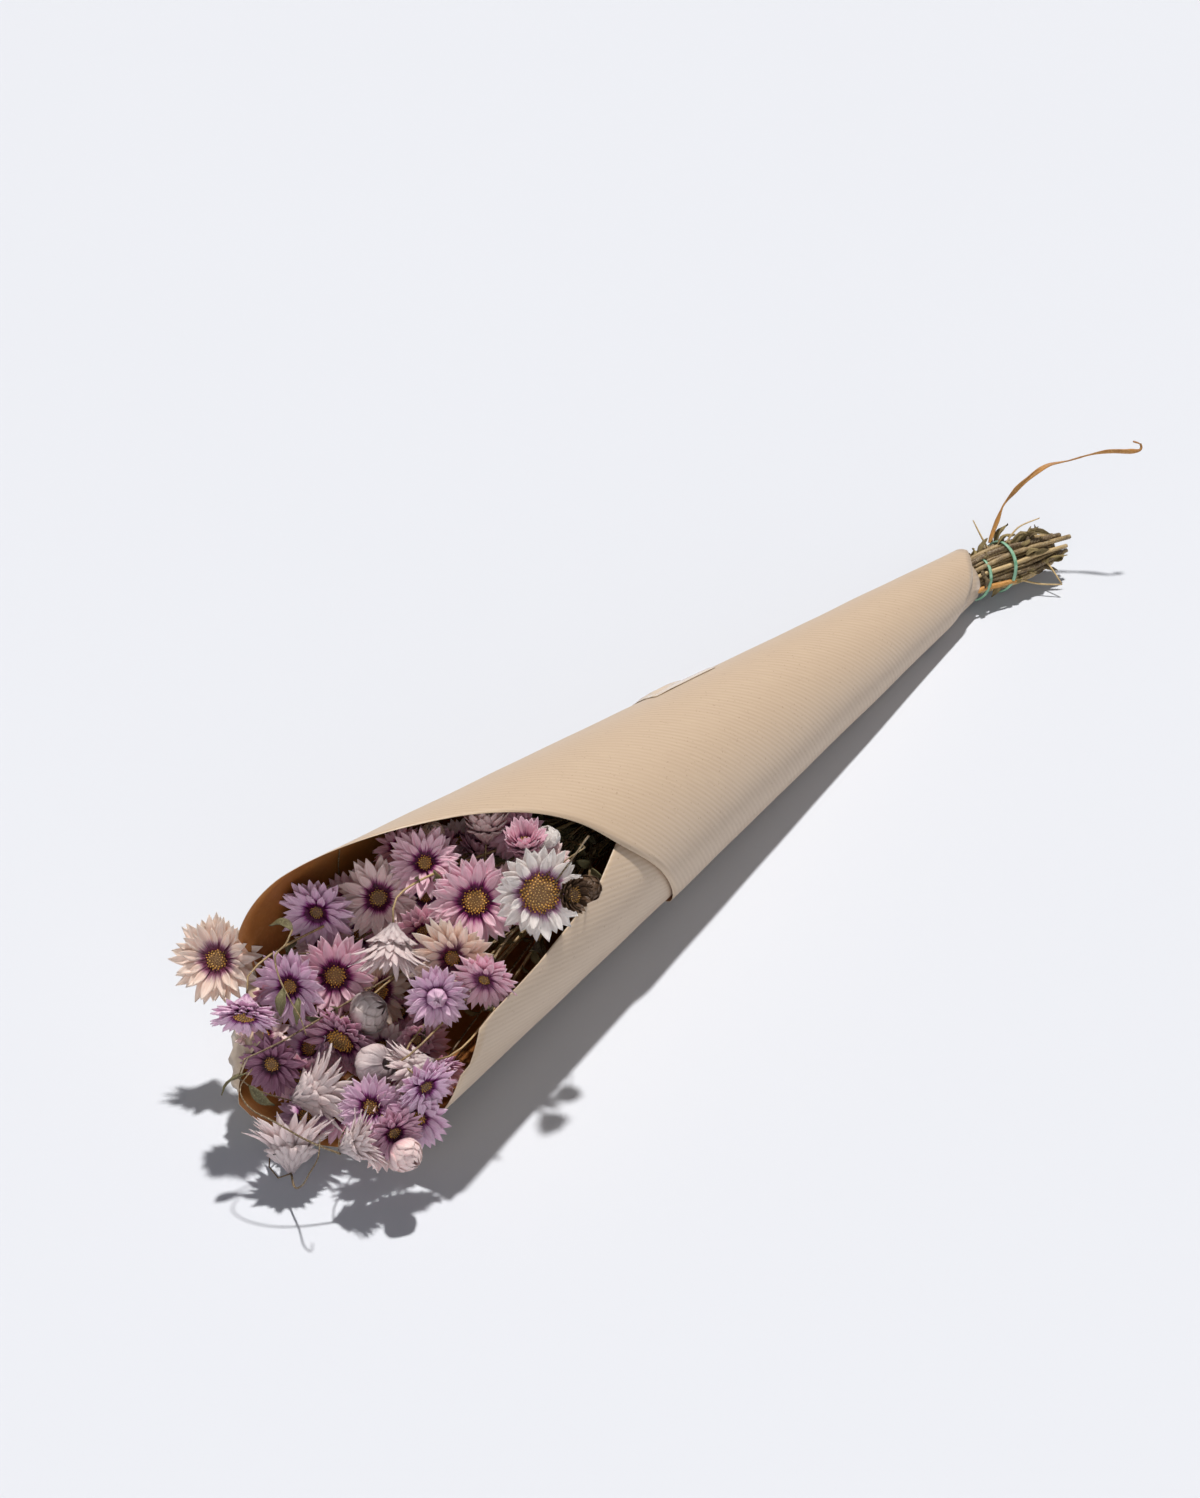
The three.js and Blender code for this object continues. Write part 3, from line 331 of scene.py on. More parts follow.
# Rows of a bud from the outside in: where a bract starts and ends on the egg, and how far out
BUD_ROWS = [(0, 0.7, 1.0), (0.08, 0.82, 0.95), (0.2, 0.93, 0.9), (0.32, 1, 0.84)]
SCALES_ROUND = 7  # bracts in a row of a calyx, knob or bud
CALYX_ROWS = 4
GOLDEN_ANGLE = 2.399963
# Colours of the bracts: body, tip, streaks of the ring, its dark foot
BRACT_TINTS = {
    "peach": ("FCE6DA", "FEF4EA", "A03A78", "6A1440"),
    "lilac": ("EFCCE6", "F8E2F0", "A83C98", "5E1048"),
    "blush": ("FBE0E2", "FEF0EC", "B04488", "5A0E3C"),
    "pink": ("F8CEDF", "FCE4EC", "B03888", "621048"),
    "white": ("FCF6F4", "FEFBF8", "B4489C", "7A1E5C"),
    "silver": ("F0E4E4", "FBF1F0", "B09AA0", "84707A"),
    "mauve": ("EADEDC", "F4ECEA", "A08A88", "7A6662"),
    "dusky": ("E0B0C8", "ECCAD9", "943074", "4E0C34"),
    "rose": ("F0BED2", "F6D4E0", "A83478", "5A0E3C"),
    # Dusky magenta bracts, painted darker for the shade behind the flap
    "wine": ("A8688A", "C494AC", "6A1C4C", "3E0C2A"),
    # Withered brown, painted darker still for the shade these heads sit in
    "withered": ("5E4636", "7C6048", "3E2A24", "2E201A"),
}
PALE_TINTS = ("silver", "white", "mauve")

# Stage, in metres
FLOOR_REACH = 30.0
CAMERA_PLACE = (0.9298, 0.6246, 0.85)
SENSOR_WIDTH = 36
FOCAL_LENGTH = 3200 / 1498 * SENSOR_WIDTH
KEY_DIRECTION = Vector((0.311, 0.113, -0.944))
FRONT_DIRECTION = Vector((-0.75, -0.55, -0.28))


# Plain numbers and curves


def clamped(share):
    return min(1.0, max(0.0, share))


def eased(share):
    """A share from 0 to 1 that starts and ends softly."""
    share = clamped(share)
    return share * share * (3 - 2 * share)


def between(rows, at, bend=clamped):
    """Value of a table of pairs at a point between its rows, which may rise or fall."""
    rising = rows[-1][0] > rows[0][0]
    for (a, low), (b, high) in zip(rows, rows[1:]):
        if (at <= b) if rising else (at >= b):
            return low + (high - low) * bend((at - a) / (b - a))
    return rows[-1][1]


def rim_distance(turn):
    """Distance of the rim from the apex, on a smooth curve as far as the sharp corners."""
    if turn <= SHARP_FROM or turn >= RIM[0][0]:
        return between(RIM, turn)
    for i, ((a, low), (b, high)) in enumerate(zip(RIM, RIM[1:])):
        if turn >= b:
            before = RIM[max(0, i - 1)]
            after = RIM[min(len(RIM) - 1, i + 2)]
            share = (turn - a) / (b - a)
            start = (high - before[1]) / (b - before[0]) * (b - a)
            end = (after[1] - low) / (after[0] - a) * (b - a)
            s2 = share * share
            s3 = s2 * share
            return (
                (2 * s3 - 3 * s2 + 1) * low
                + (s3 - 2 * s2 + share) * start
                + (3 * s2 - 2 * s3) * high
                + (s3 - s2) * end
            )


def curve_through(spots, steps):
    """Points of a smooth curve through the given spots, with that many steps in each stretch."""
    points = [Vector(spot) for spot in spots]
    ends = [points[0] * 2 - points[1], *points, points[-1] * 2 - points[-2]]
    found = [points[0].copy()]
    for i in range(len(points) - 1):
        p0, p1, p2, p3 = ends[i : i + 4]
        t1 = max(1e-4, (p1 - p0).length ** 0.5)
        t2 = t1 + max(1e-4, (p2 - p1).length ** 0.5)
        t3 = t2 + max(1e-4, (p3 - p2).length ** 0.5)
        for k in range(1, steps + 1):
            t = t1 + (t2 - t1) * k / steps
            a1 = p0 * ((t1 - t) / t1) + p1 * (t / t1)
            a2 = p1 * ((t2 - t) / (t2 - t1)) + p2 * ((t - t1) / (t2 - t1))
            a3 = p2 * ((t3 - t) / (t3 - t2)) + p3 * ((t - t2) / (t3 - t2))
            b1 = a1 * ((t2 - t) / t2) + a2 * (t / t2)
            b2 = a2 * ((t3 - t) / (t3 - t1)) + a3 * ((t - t1) / (t3 - t1))
            found.append(b1 * ((t2 - t) / (t2 - t1)) + b2 * ((t - t1) / (t2 - t1)))
    return found


def evenly(points, count):
    """That many points at equal distances along a line of points."""
    lengths = [0.0]
    for a, b in zip(points, points[1:]):
        lengths.append(lengths[-1] + (b - a).length)
    found = []
    for k in range(count):
        want = lengths[-1] * k / (count - 1)
        i = min(range(1, len(points)), key=lambda j: (lengths[j] < want, abs(lengths[j] - want)))
        share = (want - lengths[i - 1]) / max(1e-9, lengths[i] - lengths[i - 1])
        found.append(points[i - 1].lerp(points[i], clamped(share)))
    return found


def direction_at(points, i):
    """Direction of a line of points at one of them."""
    return (points[min(len(points) - 1, i + 1)] - points[max(0, i - 1)]).normalized()


def square_to(side, ahead):
    """A direction turned as little as it takes to stand square to another."""
    return (side - ahead * side.dot(ahead)).normalized()


# The cone and the bunch in it


def cone_frame(turn):
    """Directions on the cone at a turn of the roll: along its side, and out of its surface."""
    angle = radians(turn)
    radial = CONE_RISE * cos(angle) + Vector((0, 1, 0)) * sin(angle)
    along = CONE_AXIS * cos(CONE_HALF_ANGLE) + radial * sin(CONE_HALF_ANGLE)
    out = radial * cos(CONE_HALF_ANGLE) - CONE_AXIS * sin(CONE_HALF_ANGLE)
    return along, out


def dent_depth(turn, distance):
    return between(DENT, turn) * max(0.0, (distance - DENT_START) / DENT_SPAN) ** 2


def sheet_point(turn, distance):
    """Point of the paper's middle surface: rolled, pressed in at the mouth, flat on the floor."""
    along, out = cone_frame(turn)
    press = dent_depth(turn, distance)
    depth = TURN_STEP * (turn - REFERENCE_TURN) / 360 - press - SHEET_DEPTH
    point = APEX + along * distance + out * depth
    point += out * noise.noise(point / WAVE_LENGTH) * WAVE_DEPTH
    lowest = SHEET_DEPTH
    if turn < 0:
        lowest += TURN_STEP * clamped((SAG_END - distance) / (SAG_END - SAG_START))
    point.z = max(point.z, lowest)
    return point


def inside_mouth(point, margin=4):
    """Whether a point lies inside the paper, clear of it by a margin, and above the floor."""
    from_apex = point - APEX
    far = from_apex.dot(CONE_AXIS)
    off = from_apex - CONE_AXIS * far
    turn = degrees(atan2(off.y, off.dot(CONE_RISE)))
    press = dent_depth(max(turn, DENT_END_TURN), far)
    return off.length < far * tan(CONE_HALF_ANGLE) - press - margin and point.z > margin


def bunch_station(x):
    """Middle and radius of the stem bunch at an x, as at its end for an x past its end."""
    x = max(x, BUNCH_END)
    y, z, radius = (between([(row[0], row[i]) for row in BUNCH], x) for i in (1, 2, 3))
    return Vector((x, y, z)), radius


def bunch_spot(x, angle, away):
    """Spot of the stem bunch, at an angle and a distance from its middle. Cut ends lean out."""
    middle, _ = bunch_station(x)
    beyond = max(0.0, BUNCH_END - x)
    away += beyond * 0.1
    side = middle.y + beyond * 0.35 + away * sin(angle)
    return Vector((x, side, middle.z + away * cos(angle)))


# Pieces and meshes


def scene_object(name, data):
    thing = bpy.data.objects.new(name, data)
    bpy.context.scene.collection.objects.link(thing)
    return thing


def mesh_piece(bm, name, material, slot_name, *replaced, wall=0.0):
    """Object of a finished bmesh in millimetres, set to ride and to stand for its CAD nodes."""
    bmesh.ops.transform(bm, matrix=Matrix.Scale(MM, 4), verts=bm.verts)
    mesh = bpy.data.meshes.new(name)
    bm.to_mesh(mesh)
    bm.free()
    mesh.shade_smooth()
    mesh.materials.append(material)
    piece = scene_object(name, mesh)
    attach(piece, "root")
    if replaced:
        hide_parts(*replaced)
    if wall:
        thickness = piece.modifiers.new("thickness", "SOLIDIFY")
        thickness.thickness = wall * MM
        thickness.offset = 0
    return piece


def marked_bmesh(*names):
    bm = bmesh.new()
    for name in names:
        bm.verts.layers.float.new(name)
    return bm


def shaped_grid(bm, size, place, **marks):
    """A grid moved corner by corner to place(share across, share along), with marks on it.

    The share across runs from -1 to 1 and the share along from 0 to 1.
    """
    layers = {name: bm.verts.layers.float[name] for name in ("along", "across", *marks)}
    grid = bmesh.ops.create_grid(bm, x_segments=size[0], y_segments=size[1], size=1.0)["verts"]
    for vert in grid:
        u, t = vert.co.x, (vert.co.y + 1) / 2
        vert.co = place(u, t)
        for name, value in {"along": t, "across": u, **marks}.items():
            vert[layers[name]] = value
    return grid


def keep_above_floor(bm):
    for vert in bm.verts:
        vert.co.z = max(vert.co.z, FLOOR_CLEARANCE)


def add_tubes(bm, runs):
    """Round closed stems, each (points, radii, tone), made as one bevelled curve."""
    curve = bpy.data.curves.new("stem_curve", "CURVE")
    curve.dimensions = "3D"
    curve.bevel_depth = 1.0
    curve.bevel_resolution = (STEM_SIDES - 4) // 2
    for points, radii, _ in runs:
        spline = curve.splines.new("POLY")
        spline.points.add(len(points) - 1)
        for spot, point, radius in zip(spline.points, points, radii):
            spot.co = (*point, 1)
            spot.radius = radius
    holder = scene_object("stem_curve", curve)
    evaluated = holder.evaluated_get(bpy.context.evaluated_depsgraph_get())
    mesh = bpy.data.meshes.new_from_object(evaluated)
    corner = len(bm.verts)
    bm.from_mesh(mesh)
    bm.verts.ensure_lookup_table()
    tone_layer = bm.verts.layers.float["tone"]
    along_layer = bm.verts.layers.float["along"]
    for points, _, tone in runs:
        for i in range(len(points)):
            for _ in range(STEM_SIDES):
                bm.verts[corner][tone_layer] = tone
                bm.verts[corner][along_layer] = i / (len(points) - 1)
                corner += 1
    if corner != len(bm.verts):
        raise RuntimeError("a stem curve has another number of corners than its runs")
    open_ends = [edge for edge in bm.edges if edge.is_boundary]
    bmesh.ops.holes_fill(bm, edges=open_ends, sides=STEM_SIDES)
    bpy.data.objects.remove(holder)
    bpy.data.curves.remove(curve)
    bpy.data.meshes.remove(mesh)


# Materials


def linear(hex_colour):
    """Linear colour of an sRGB hex value."""
    values = [int(hex_colour[i : i + 2], 16) / 255 for i in (0, 2, 4)]
    return tuple(c / 12.92 if c <= 0.04045 else ((c + 0.055) / 1.055) ** 2.4 for c in values)


def add_node(tree, kind, inputs=None, out=0, **settings):
    """Output of a new node with its settings, and its inputs set to values or linked to sockets.

    A string among the inputs is a colour as sRGB hex.
    """
    node = tree.nodes.new("ShaderNode" + kind)
    for name, value in settings.items():
        setattr(node, name, value)
    for name, value in (inputs or {}).items():
        if isinstance(value, bpy.types.NodeSocket):
            tree.links.new(value, node.inputs[name])
        else:
            value = (*linear(value), 1) if isinstance(value, str) else value
            node.inputs[name].default_value = value
    return node.outputs[out] if node.outputs else None


def blank_material(name):
    material = bpy.data.materials.new(name)
    material.use_nodes = True
    material.node_tree.nodes.clear()
    return material, material.node_tree


def painted(tree, colour, *coats, blend="MIX"):
    """A colour with coats over it: value, where it starts, where it is full, its share, colour."""
    for value, start, full, share, coat in coats:
        reach = {"Value": value, "From Min": start, "From Max": full, "To Max": share}
        inputs = {0: add_node(tree, "MapRange", reach), 6: colour, 7: coat}
        colour = add_node(tree, "Mix", inputs, 2, data_type="RGBA", blend_type=blend)
    return colour


def finish_surface(tree, colour, roughness, ior, relief=None, through=0.0, extra=None):
    """The end of a material, with a relief (height, strength, distance) and light let through."""
    inputs = {"Base Color": colour, "Roughness": roughness, "IOR": ior, **(extra or {})}
    if relief:
        bump = dict(zip(("Height", "Strength", "Distance"), relief))
        inputs["Normal"] = add_node(tree, "Bump", bump)
    surface = add_node(tree, "BsdfPrincipled", inputs)
    if through:
        glow = add_node(tree, "BsdfTranslucent", {"Color": colour})
        surface = add_node(tree, "MixShader", {0: through, 1: surface, 2: glow})
    add_node(tree, "OutputMaterial", {"Surface": surface})


def kraft_paper(settings):
    """Ribbed kraft paper: warm tan with a low sheen, pale fibres and dark flecks.

    Its pressed ribs catch the light, with painted shade in the grooves and a painted highlight on
    the rim.
    """
    material, tree = blank_material("ribbed_kraft_paper")
    sheet = add_node(tree, "UVMap", uv_map="sheet")
    spot = add_node(tree, "TexCoord", out="Object")
    edge = add_node(tree, "Attribute", out="Fac", attribute_name="along")
    way = {0: add_node(tree, "SeparateXYZ", {0: sheet}), 1: tau / settings.rib_pitch}
    turns = add_node(tree, "Math", way, operation="MULTIPLY")
    wave = add_node(tree, "Math", {0: turns}, operation="SINE")
    ribs = add_node(tree, "MapRange", {"Value": wave, "From Min": -1.0, "From Max": 1.0})
    stretched = add_node(tree, "Mapping", {"Vector": sheet, "Scale": (900.0, 90.0, 1.0)})
    fibres = add_node(tree, "TexNoise", {"Vector": stretched, "Scale": 1.0, "Detail": 4.0})
    clouds = add_node(tree, "TexNoise", {"Vector": spot, "Scale": 28.0, "Detail": 3.0})
    flecks = add_node(tree, "TexNoise", {"Vector": spot, "Scale": 900.0, "Detail": 1.0})
    colour = painted(
        tree,
        # Painted shade: the groove colour, darker than the paper, lies between the ribs
        (*settings.groove_shade_colour, 1),
        (ribs, 0, 1, 1, (*settings.paper_colour, 1)),
        (clouds, 0, 1, 1, (*settings.worn_colour, 1)),
        (fibres, 0.45, 0.8, 0.3, "CEB99D"),
        (flecks, 0.68, 0.76, 0.35, "7C5638"),
        # Painted highlight: the rim at the mouth is paler, where the lip catches the light
        (edge, 0.996, 0.999, 0.3, "D8C3A6"),
    )
    height = add_node(tree, "Math", {0: fibres, 1: 0.35, 2: ribs}, operation="MULTIPLY_ADD")
    finish_surface(tree, colour, 0.48, 1.5, (height, 0.24, 0.00018), extra={"Sheen Weight": 0.15})
    return material


def mottled(name, colour, patterns, roughness, ior, relief=None, extra=None):
    """A material with noise patterns as coats: scale, detail, start, full, share, colour.

    The relief is the strength and the distance of the last pattern's height.
    """
    material, tree = blank_material(name)
    spot = add_node(tree, "TexCoord", out="Object")
    for scale, detail, *coat in patterns:
        pattern = add_node(tree, "TexNoise", {"Vector": spot, "Scale": scale, "Detail": detail})
        colour = painted(tree, colour, (pattern, *coat))
    relief = relief and (pattern, *relief)
    finish_surface(tree, colour, roughness, ior, relief, extra=extra)
    return material


def smooth_shaded_kraft_face(settings):
    """The kraft paper's smooth inner face with soft clouds and fibres, painted darker and warmer
    as shade and glow.
    """
    patterns = [(60.0, 4.0, 0, 1, 1, "B4783C"), (700.0, 3.0, 0.5, 0.8, 0.3, "C08C56")]
    base = (*settings.inside_shade_colour, 1)
    return mottled("smooth_kraft_paper", base, patterns, 0.55, 1.5, (0.3, 0.0002))


def clear_tape():
    """Clear polypropylene tape: a thin shiny film that shows the paper below it, with ripples."""
    ripples = [(160.0, 2.0, 0, 1, 1, "CDB99F")]
    name, coat = "clear_polypropylene_tape", {"Coat Weight": 0.3}
    return mottled(name, "BCA58C", ripples, 0.2, 1.49, (0.25, 0.0004), coat)


def green_rubber(settings):
    """Latex rubber band: matt mid green with patches of dusty bloom."""
    dust = [(420.0, 3.0, 0.35, 0.7, 1, "98BEA4")]
    base = (*settings.band_colour, 1)
    return mottled("green_latex_rubber", base, dust, 0.5, 1.52, (0.3, 0.0002))


def white_board():
    """Matt white board: a pale cool floor with hardly any mottle."""
    return mottled("matt_white_board", "CDD1D9", [(2.0, 2.0, 0, 1, 1, "CFD3DB")], 0.8, 1.5)


def plant_fibre(name, dark, middle, light, roughness):
    """Dry plant matter: dull, with blotches and fine fibres from its dark to its light colour."""
    material, tree = blank_material(name)
    spot = add_node(tree, "TexCoord", out="Object")
    tone = add_node(tree, "Attribute", out="Fac", attribute_name="tone")
    along = add_node(tree, "Attribute", out="Fac", attribute_name="along")
    blotches = add_node(tree, "TexNoise", {"Vector": spot, "Scale": 190.0, "Detail": 4.0})
    streaks = add_node(tree, "TexNoise", {"Vector": spot, "Scale": 1400.0, "Detail": 2.0})
    summed = add_node(tree, "Math", {0: tone, 1: blotches}, operation="ADD")
    colour = painted(
        tree,
        dark,
        (summed, 0.55, 1.45, 1, middle),
        (streaks, 0.5, 0.72, 0.36, light),
        (along, 0.9, 1, 0.35, dark),
    )
    finish_surface(tree, colour, roughness, 1.45, (streaks, 0.5, 0.0003))
    return material


def papery_bract(tint):
    """Papery bract: a thin dry satin scale that lets light through.

    Fine veins run along it, its tip is paler, and a streaked dark ring fades up from its foot.
    """
    name = "papery_bract_" + tint
    if name in bpy.data.materials:
        return bpy.data.materials[name]
    body, tip, streaks, dark_foot = BRACT_TINTS[tint]
    material, tree = blank_material(name)
    along, across, hue, ring = (
        add_node(tree, "Attribute", out="Fac", attribute_name=mark) for mark in BRACT_MARKS
    )
    grain = add_node(tree, "CombineXYZ", {"X": across, "Y": along, "Z": hue})
    stretched = add_node(tree, "Mapping", {"Vector": grain, "Scale": (9.0, 1.1, 40.0)})
    veins = add_node(tree, "TexNoise", {"Vector": stretched, "Scale": 1.0, "Detail": 3.0})
    colour = painted(tree, body, (along, 0.3, 1, 1, tip), (hue, 0, 1, 0.45, tip))
    colour = painted(tree, colour, (veins, 0.45, 0.72, 0.7, body), blend="MULTIPLY")
    foot_way = add_node(tree, "Math", {0: veins, 1: -0.3, 2: along}, operation="MULTIPLY_ADD")
    for shade, fades, full in ((streaks, 0.3, 0.06), (dark_foot, 0.11, 0.02)):
        reach = {"Value": foot_way, "From Min": fades, "From Max": full}
        foot = add_node(tree, "MapRange", reach, interpolation_type="SMOOTHSTEP")
        share = add_node(tree, "Math", {0: foot, 1: ring}, operation="MULTIPLY")
        colour = painted(tree, colour, (share, 0, 1, 1, shade))
    through = 0.5 if tint in PALE_TINTS else 0.38
    finish_surface(tree, colour, 0.42, 1.48, (veins, 0.5, 0.0003), through)
    return material


def dry_florets():
    """Dry disc florets: rough golden to brown tubes with greyer closed ones in the middle."""
    name = "dry_disc_florets"
    if name in bpy.data.materials:
        return bpy.data.materials[name]
    material, tree = blank_material(name)
    along, tone, gold = (
        add_node(tree, "Attribute", out="Fac", attribute_name=mark) for mark in FLORET_MARKS
    )
    spot = add_node(tree, "TexCoord", out="Object")
    speckle = add_node(tree, "TexNoise", {"Vector": spot, "Scale": 1100.0, "Detail": 2.0})
    outer = painted(tree, "4E3022", (gold, 0, 1, 1, "F0A83C"))
    middle = painted(tree, "77604F", (gold, 0, 1, 1, "DDB46A"))
    radial = painted(tree, middle, (tone, 0, 1, 1, outer))
    colour = painted(tree, radial, (along, 0.2, 1, 0.35, "FAD88C"), (speckle, 0, 1, 1, radial))
    finish_surface(tree, colour, 0.85, 1.45)
    return material


# Paper cone, its tape and the rubber bands


def paper_place(u, t):
    """Point of the sheet at a share of its turns and a share of the way from foot to rim."""
    turn = FIRST_TURN - (u + 1) * HALF_SPAN
    foot = between(FOOT, turn)
    rim = rim_distance(turn)
    flap = 0.0
    if FOLD_TO < turn < FOLD_FROM:
        spread = FOLD_FROM - turn if turn > FOLD_PEAK else turn - FOLD_TO
        flap = FOLD_LENGTH * spread / (FOLD_PEAK - FOLD_TO)
    way = foot + (rim + flap - foot) * t
    point = sheet_point(turn, min(way, rim))
    if way > rim:
        along, out = cone_frame(turn)
        bent = min((way - rim) / FOLD_RADIUS, FOLD_ANGLE)
        rest = way - rim - bent * FOLD_RADIUS
        point += along * FOLD_RADIUS * sin(bent) - out * FOLD_RADIUS * (1 - cos(bent))
        point += (along * cos(FOLD_ANGLE) - out * sin(FOLD_ANGLE)) * rest
    return point


def make_paper(settings):
    """The rolled sheet, ribbed outside and smooth inside, with the flat sheet as its UV map."""
    bm = marked_bmesh("along", "across")
    sheet = shaped_grid(bm, PAPER_GRID, paper_place)
    uv = bm.loops.layers.uv.new("sheet")
    across = bm.verts.layers.float["across"]
    along = bm.verts.layers.float["along"]
    flat = {}
    for vert in sheet:
        turn = FIRST_TURN - (vert[across] + 1) * HALF_SPAN
        foot = between(FOOT, turn)
        distance = foot + (rim_distance(turn) - foot) * vert[along]
        angle = radians(turn) * sin(CONE_HALF_ANGLE) - settings.rib_angle
        flat[vert] = (distance * cos(angle) * MM, distance * sin(angle) * MM)
    for face in bm.faces:
        for loop in face.loops:
            loop[uv].uv = flat[loop.vert]
    bm.normal_update()
    spot_on_top = sheet_point(0, 400)
    top = min(bm.faces, key=lambda face: (face.calc_center_median() - spot_on_top).length)
    if top.normal.z < 0:
        bmesh.ops.reverse_faces(bm, faces=bm.faces)
    outside = kraft_paper(settings)
    thickness = settings.paper_thickness / MM
    paper = mesh_piece(
        bm, "ribbed_paper_cone", outside, "kraft_paper", "paper_wrap", wall=thickness
    )
    # The inner face gets the colour with painted shade and glow
    paper.data.materials.append(smooth_shaded_kraft_face(settings))
    paper.modifiers["thickness"].material_offset = 1


def tape_place(u, t):
    """Point of the tape, which rises over the corner of the sheet and wrinkles beside it."""
    turn = TAPE_TURNS[0] + (TAPE_TURNS[1] - TAPE_TURNS[0]) * (u + 1) / 2
    distance = TAPE_DISTANCES[0] + (TAPE_DISTANCES[1] - TAPE_DISTANCES[0]) * t
    roll = turn + 360
    from_edge = (FIRST_TURN - roll) * ARC_PER_DEGREE
    inside = min(distance - between(FOOT, roll), between(RIM, roll) - distance, from_edge)
    covered = eased((inside - TAPE_RISE[0]) / TAPE_RISE[1])
    _, out = cone_frame(turn)
    wrinkle = noise.noise(Vector((turn / 6, distance / 9, 3))) * 0.25
    lift = TAPE_LIFT + covered * TURN_STEP + wrinkle * (1 - covered)
    return sheet_point(turn, distance) + out * lift


def make_tape():
    bm = marked_bmesh("along", "across")
    shaped_grid(bm, TAPE_GRID, tape_place)
    bmesh.ops.recalc_face_normals(bm, faces=bm.faces)
    mesh_piece(bm, "clear_tape_strip", clear_tape(), "clear_tape", "closing_tape", wall=TAPE_WALL)


def make_bands(settings):
    """The rubber bands: slightly wavy rings, pulled tight round the stems."""
    rubber = green_rubber(settings)
    for index, (x, y, z, radius, lean, turn) in enumerate(BANDS):
        bm = bmesh.new()
        for vert in bmesh.ops.create_circle(bm, segments=BAND_SIDES, radius=0.5)["verts"]:
            out = radius + vert.co.y * BAND_THICKNESS
            vert.co = Vector((vert.co.x * BAND_WIDTH, out, 0))
        ring = bm.verts[:] + bm.edges[:]
        bmesh.ops.spin(
            bm, geom=ring, cent=(0, 0, 0), axis=(1, 0, 0), angle=tau, steps=BAND_STEPS,
            use_merge=True,
        )
        for vert in bm.verts:
            around = atan2(vert.co.z, vert.co.y)
            spot = Vector((cos(around) * 1.7, sin(around) * 1.7, index * 5.0))
            wave = noise.noise(spot)
            vert.co.x += wave * 1.1
            vert.co.yz = vert.co.yz * (0.98 + wave * 0.03)
        bmesh.ops.recalc_face_normals(bm, faces=bm.faces)
        turned = Matrix.Rotation(radians(turn), 4, "Z")
        leaning = Matrix.Rotation(radians(lean), 4, "Y")
        placed = Matrix.Translation((x, y, z)) @ turned @ leaning
        bmesh.ops.transform(bm, matrix=placed, verts=bm.verts)
        number = index + 1
        mesh_piece(bm, f"green_band_{number}", rubber, "green_rubber", f"rubber_band_{number}")


# Heads


def centre_of(head):
    return Vector((head.x, head.y, head.z))


def facing_of(head):
    right, up = radians(head.right), radians(head.up)
    facing = TO_VIEWER * cos(right) * cos(up)
    facing += VIEWER_RIGHT * sin(right) * cos(up)
    facing += VIEWER_UP * sin(up)
    return facing.normalized()


def depth_of(head):
    """How far a head reaches back from its centre to its neck."""
    return head.radius * 0.95 if head.form == "bud" else head.radius * 0.5 + 1


def turned_to(spot, facing):
    """Matrix that puts a head modelled upwards at a spot, looking a given way."""
    turn = Vector((0, 0, 1)).rotation_difference(facing)
    return Matrix.Translation(spot) @ turn.to_matrix().to_4x4()


def add_bract(bm, jitter, turn, start, length, width, rise, curl, cup, hue, ring, grid=BRACT_GRID):
    """One bract: a pointed strip from (radius, height) that curls on from its first rise."""
    steps = grid[1]
    path = [Vector(start)]
    for step in range(steps):
        angle = radians(rise + curl * (step + 0.5) / steps)
        path.append(path[-1] + Vector((cos(angle), sin(angle))) * length / steps)
    sway = jitter.uniform(-0.1, 0.1) * length
    fray = jitter.uniform(0, 50)
    spin = Matrix.Rotation(turn, 3, "Z")

    def place(u, t):
        half = width * 0.5 * between(BRACT_OUTLINE, t)
        spot = path[round(t * steps)]
        crumple = noise.noise(Vector((u * 1.6, t * 3.5, fray))) * width * 0.16
        lifted = cup * half * (u * u - 0.35) + crumple
        return spin @ Vector((spot.x, u * half + sway * t * t, spot.y + lifted))

    shaped_grid(bm, grid, place, hue=hue, ring=ring)


def add_calyx(bm, head, jitter):
    """Overlapping scales from the neck up to the bracts."""
    radius = head.radius
    for row in range(CALYX_ROWS):
        for k in range(SCALES_ROUND):
            turn = tau * (k + 0.5 * (row % 2)) / SCALES_ROUND
            hue = jitter.random() * 0.5
            depth = depth_of(head)
            start = (radius * (0.06 + 0.065 * row), -depth + row * depth * 0.17)
            # Length and width, degrees of rise and curl, and cup
            sizes = (radius * 0.42, radius * 0.26, 58 - row * 8, -14, 0.9)
            add_bract(bm, jitter, turn, start, *sizes, hue, 0.25, (2, 4))


def add_layers(bm, head, jitter):
    """The layers of bracts round the florets, hardly stained outside and darkest inside."""
    radius, disc = head.radius, head.disc
    layers = FORM_LAYERS[head.form]
    for row, (reach, rise, curl, base, width, cup, most) in enumerate(layers):
        start = max(disc * (0.86 - 0.02 * row), radius * 0.2)
        outer = row < len(layers) - 4 or head.form == "back" and row < 3
        inner = row == len(layers) - 1
        stain = head.ring * (0.3 if outer else 1.6 if inner else 1.4)
        count = most if radius > FULL_RADIUS else most - 2
        for k in range(count):
            turn = tau * (k + 0.5 * (row % 2) + jitter.uniform(-0.22, 0.22)) / count
            length = (radius - start) * reach * jitter.uniform(0.88, 1.12)
            hue = jitter.random()
            hue = 0.75 + 0.5 * hue if outer else hue * 0.7
            ring = min(1.0, stain * jitter.uniform(0.8, 1))
            tilt = jitter.uniform(-9, 8)
            spot = (start * 0.9, base * radius + 0.06 * radius)
            sizes = (max(length, radius * 0.3), radius * width * jitter.uniform(0.85, 1.1))
            add_bract(bm, jitter, turn, spot, *sizes, rise + tilt, curl, cup, hue, ring)


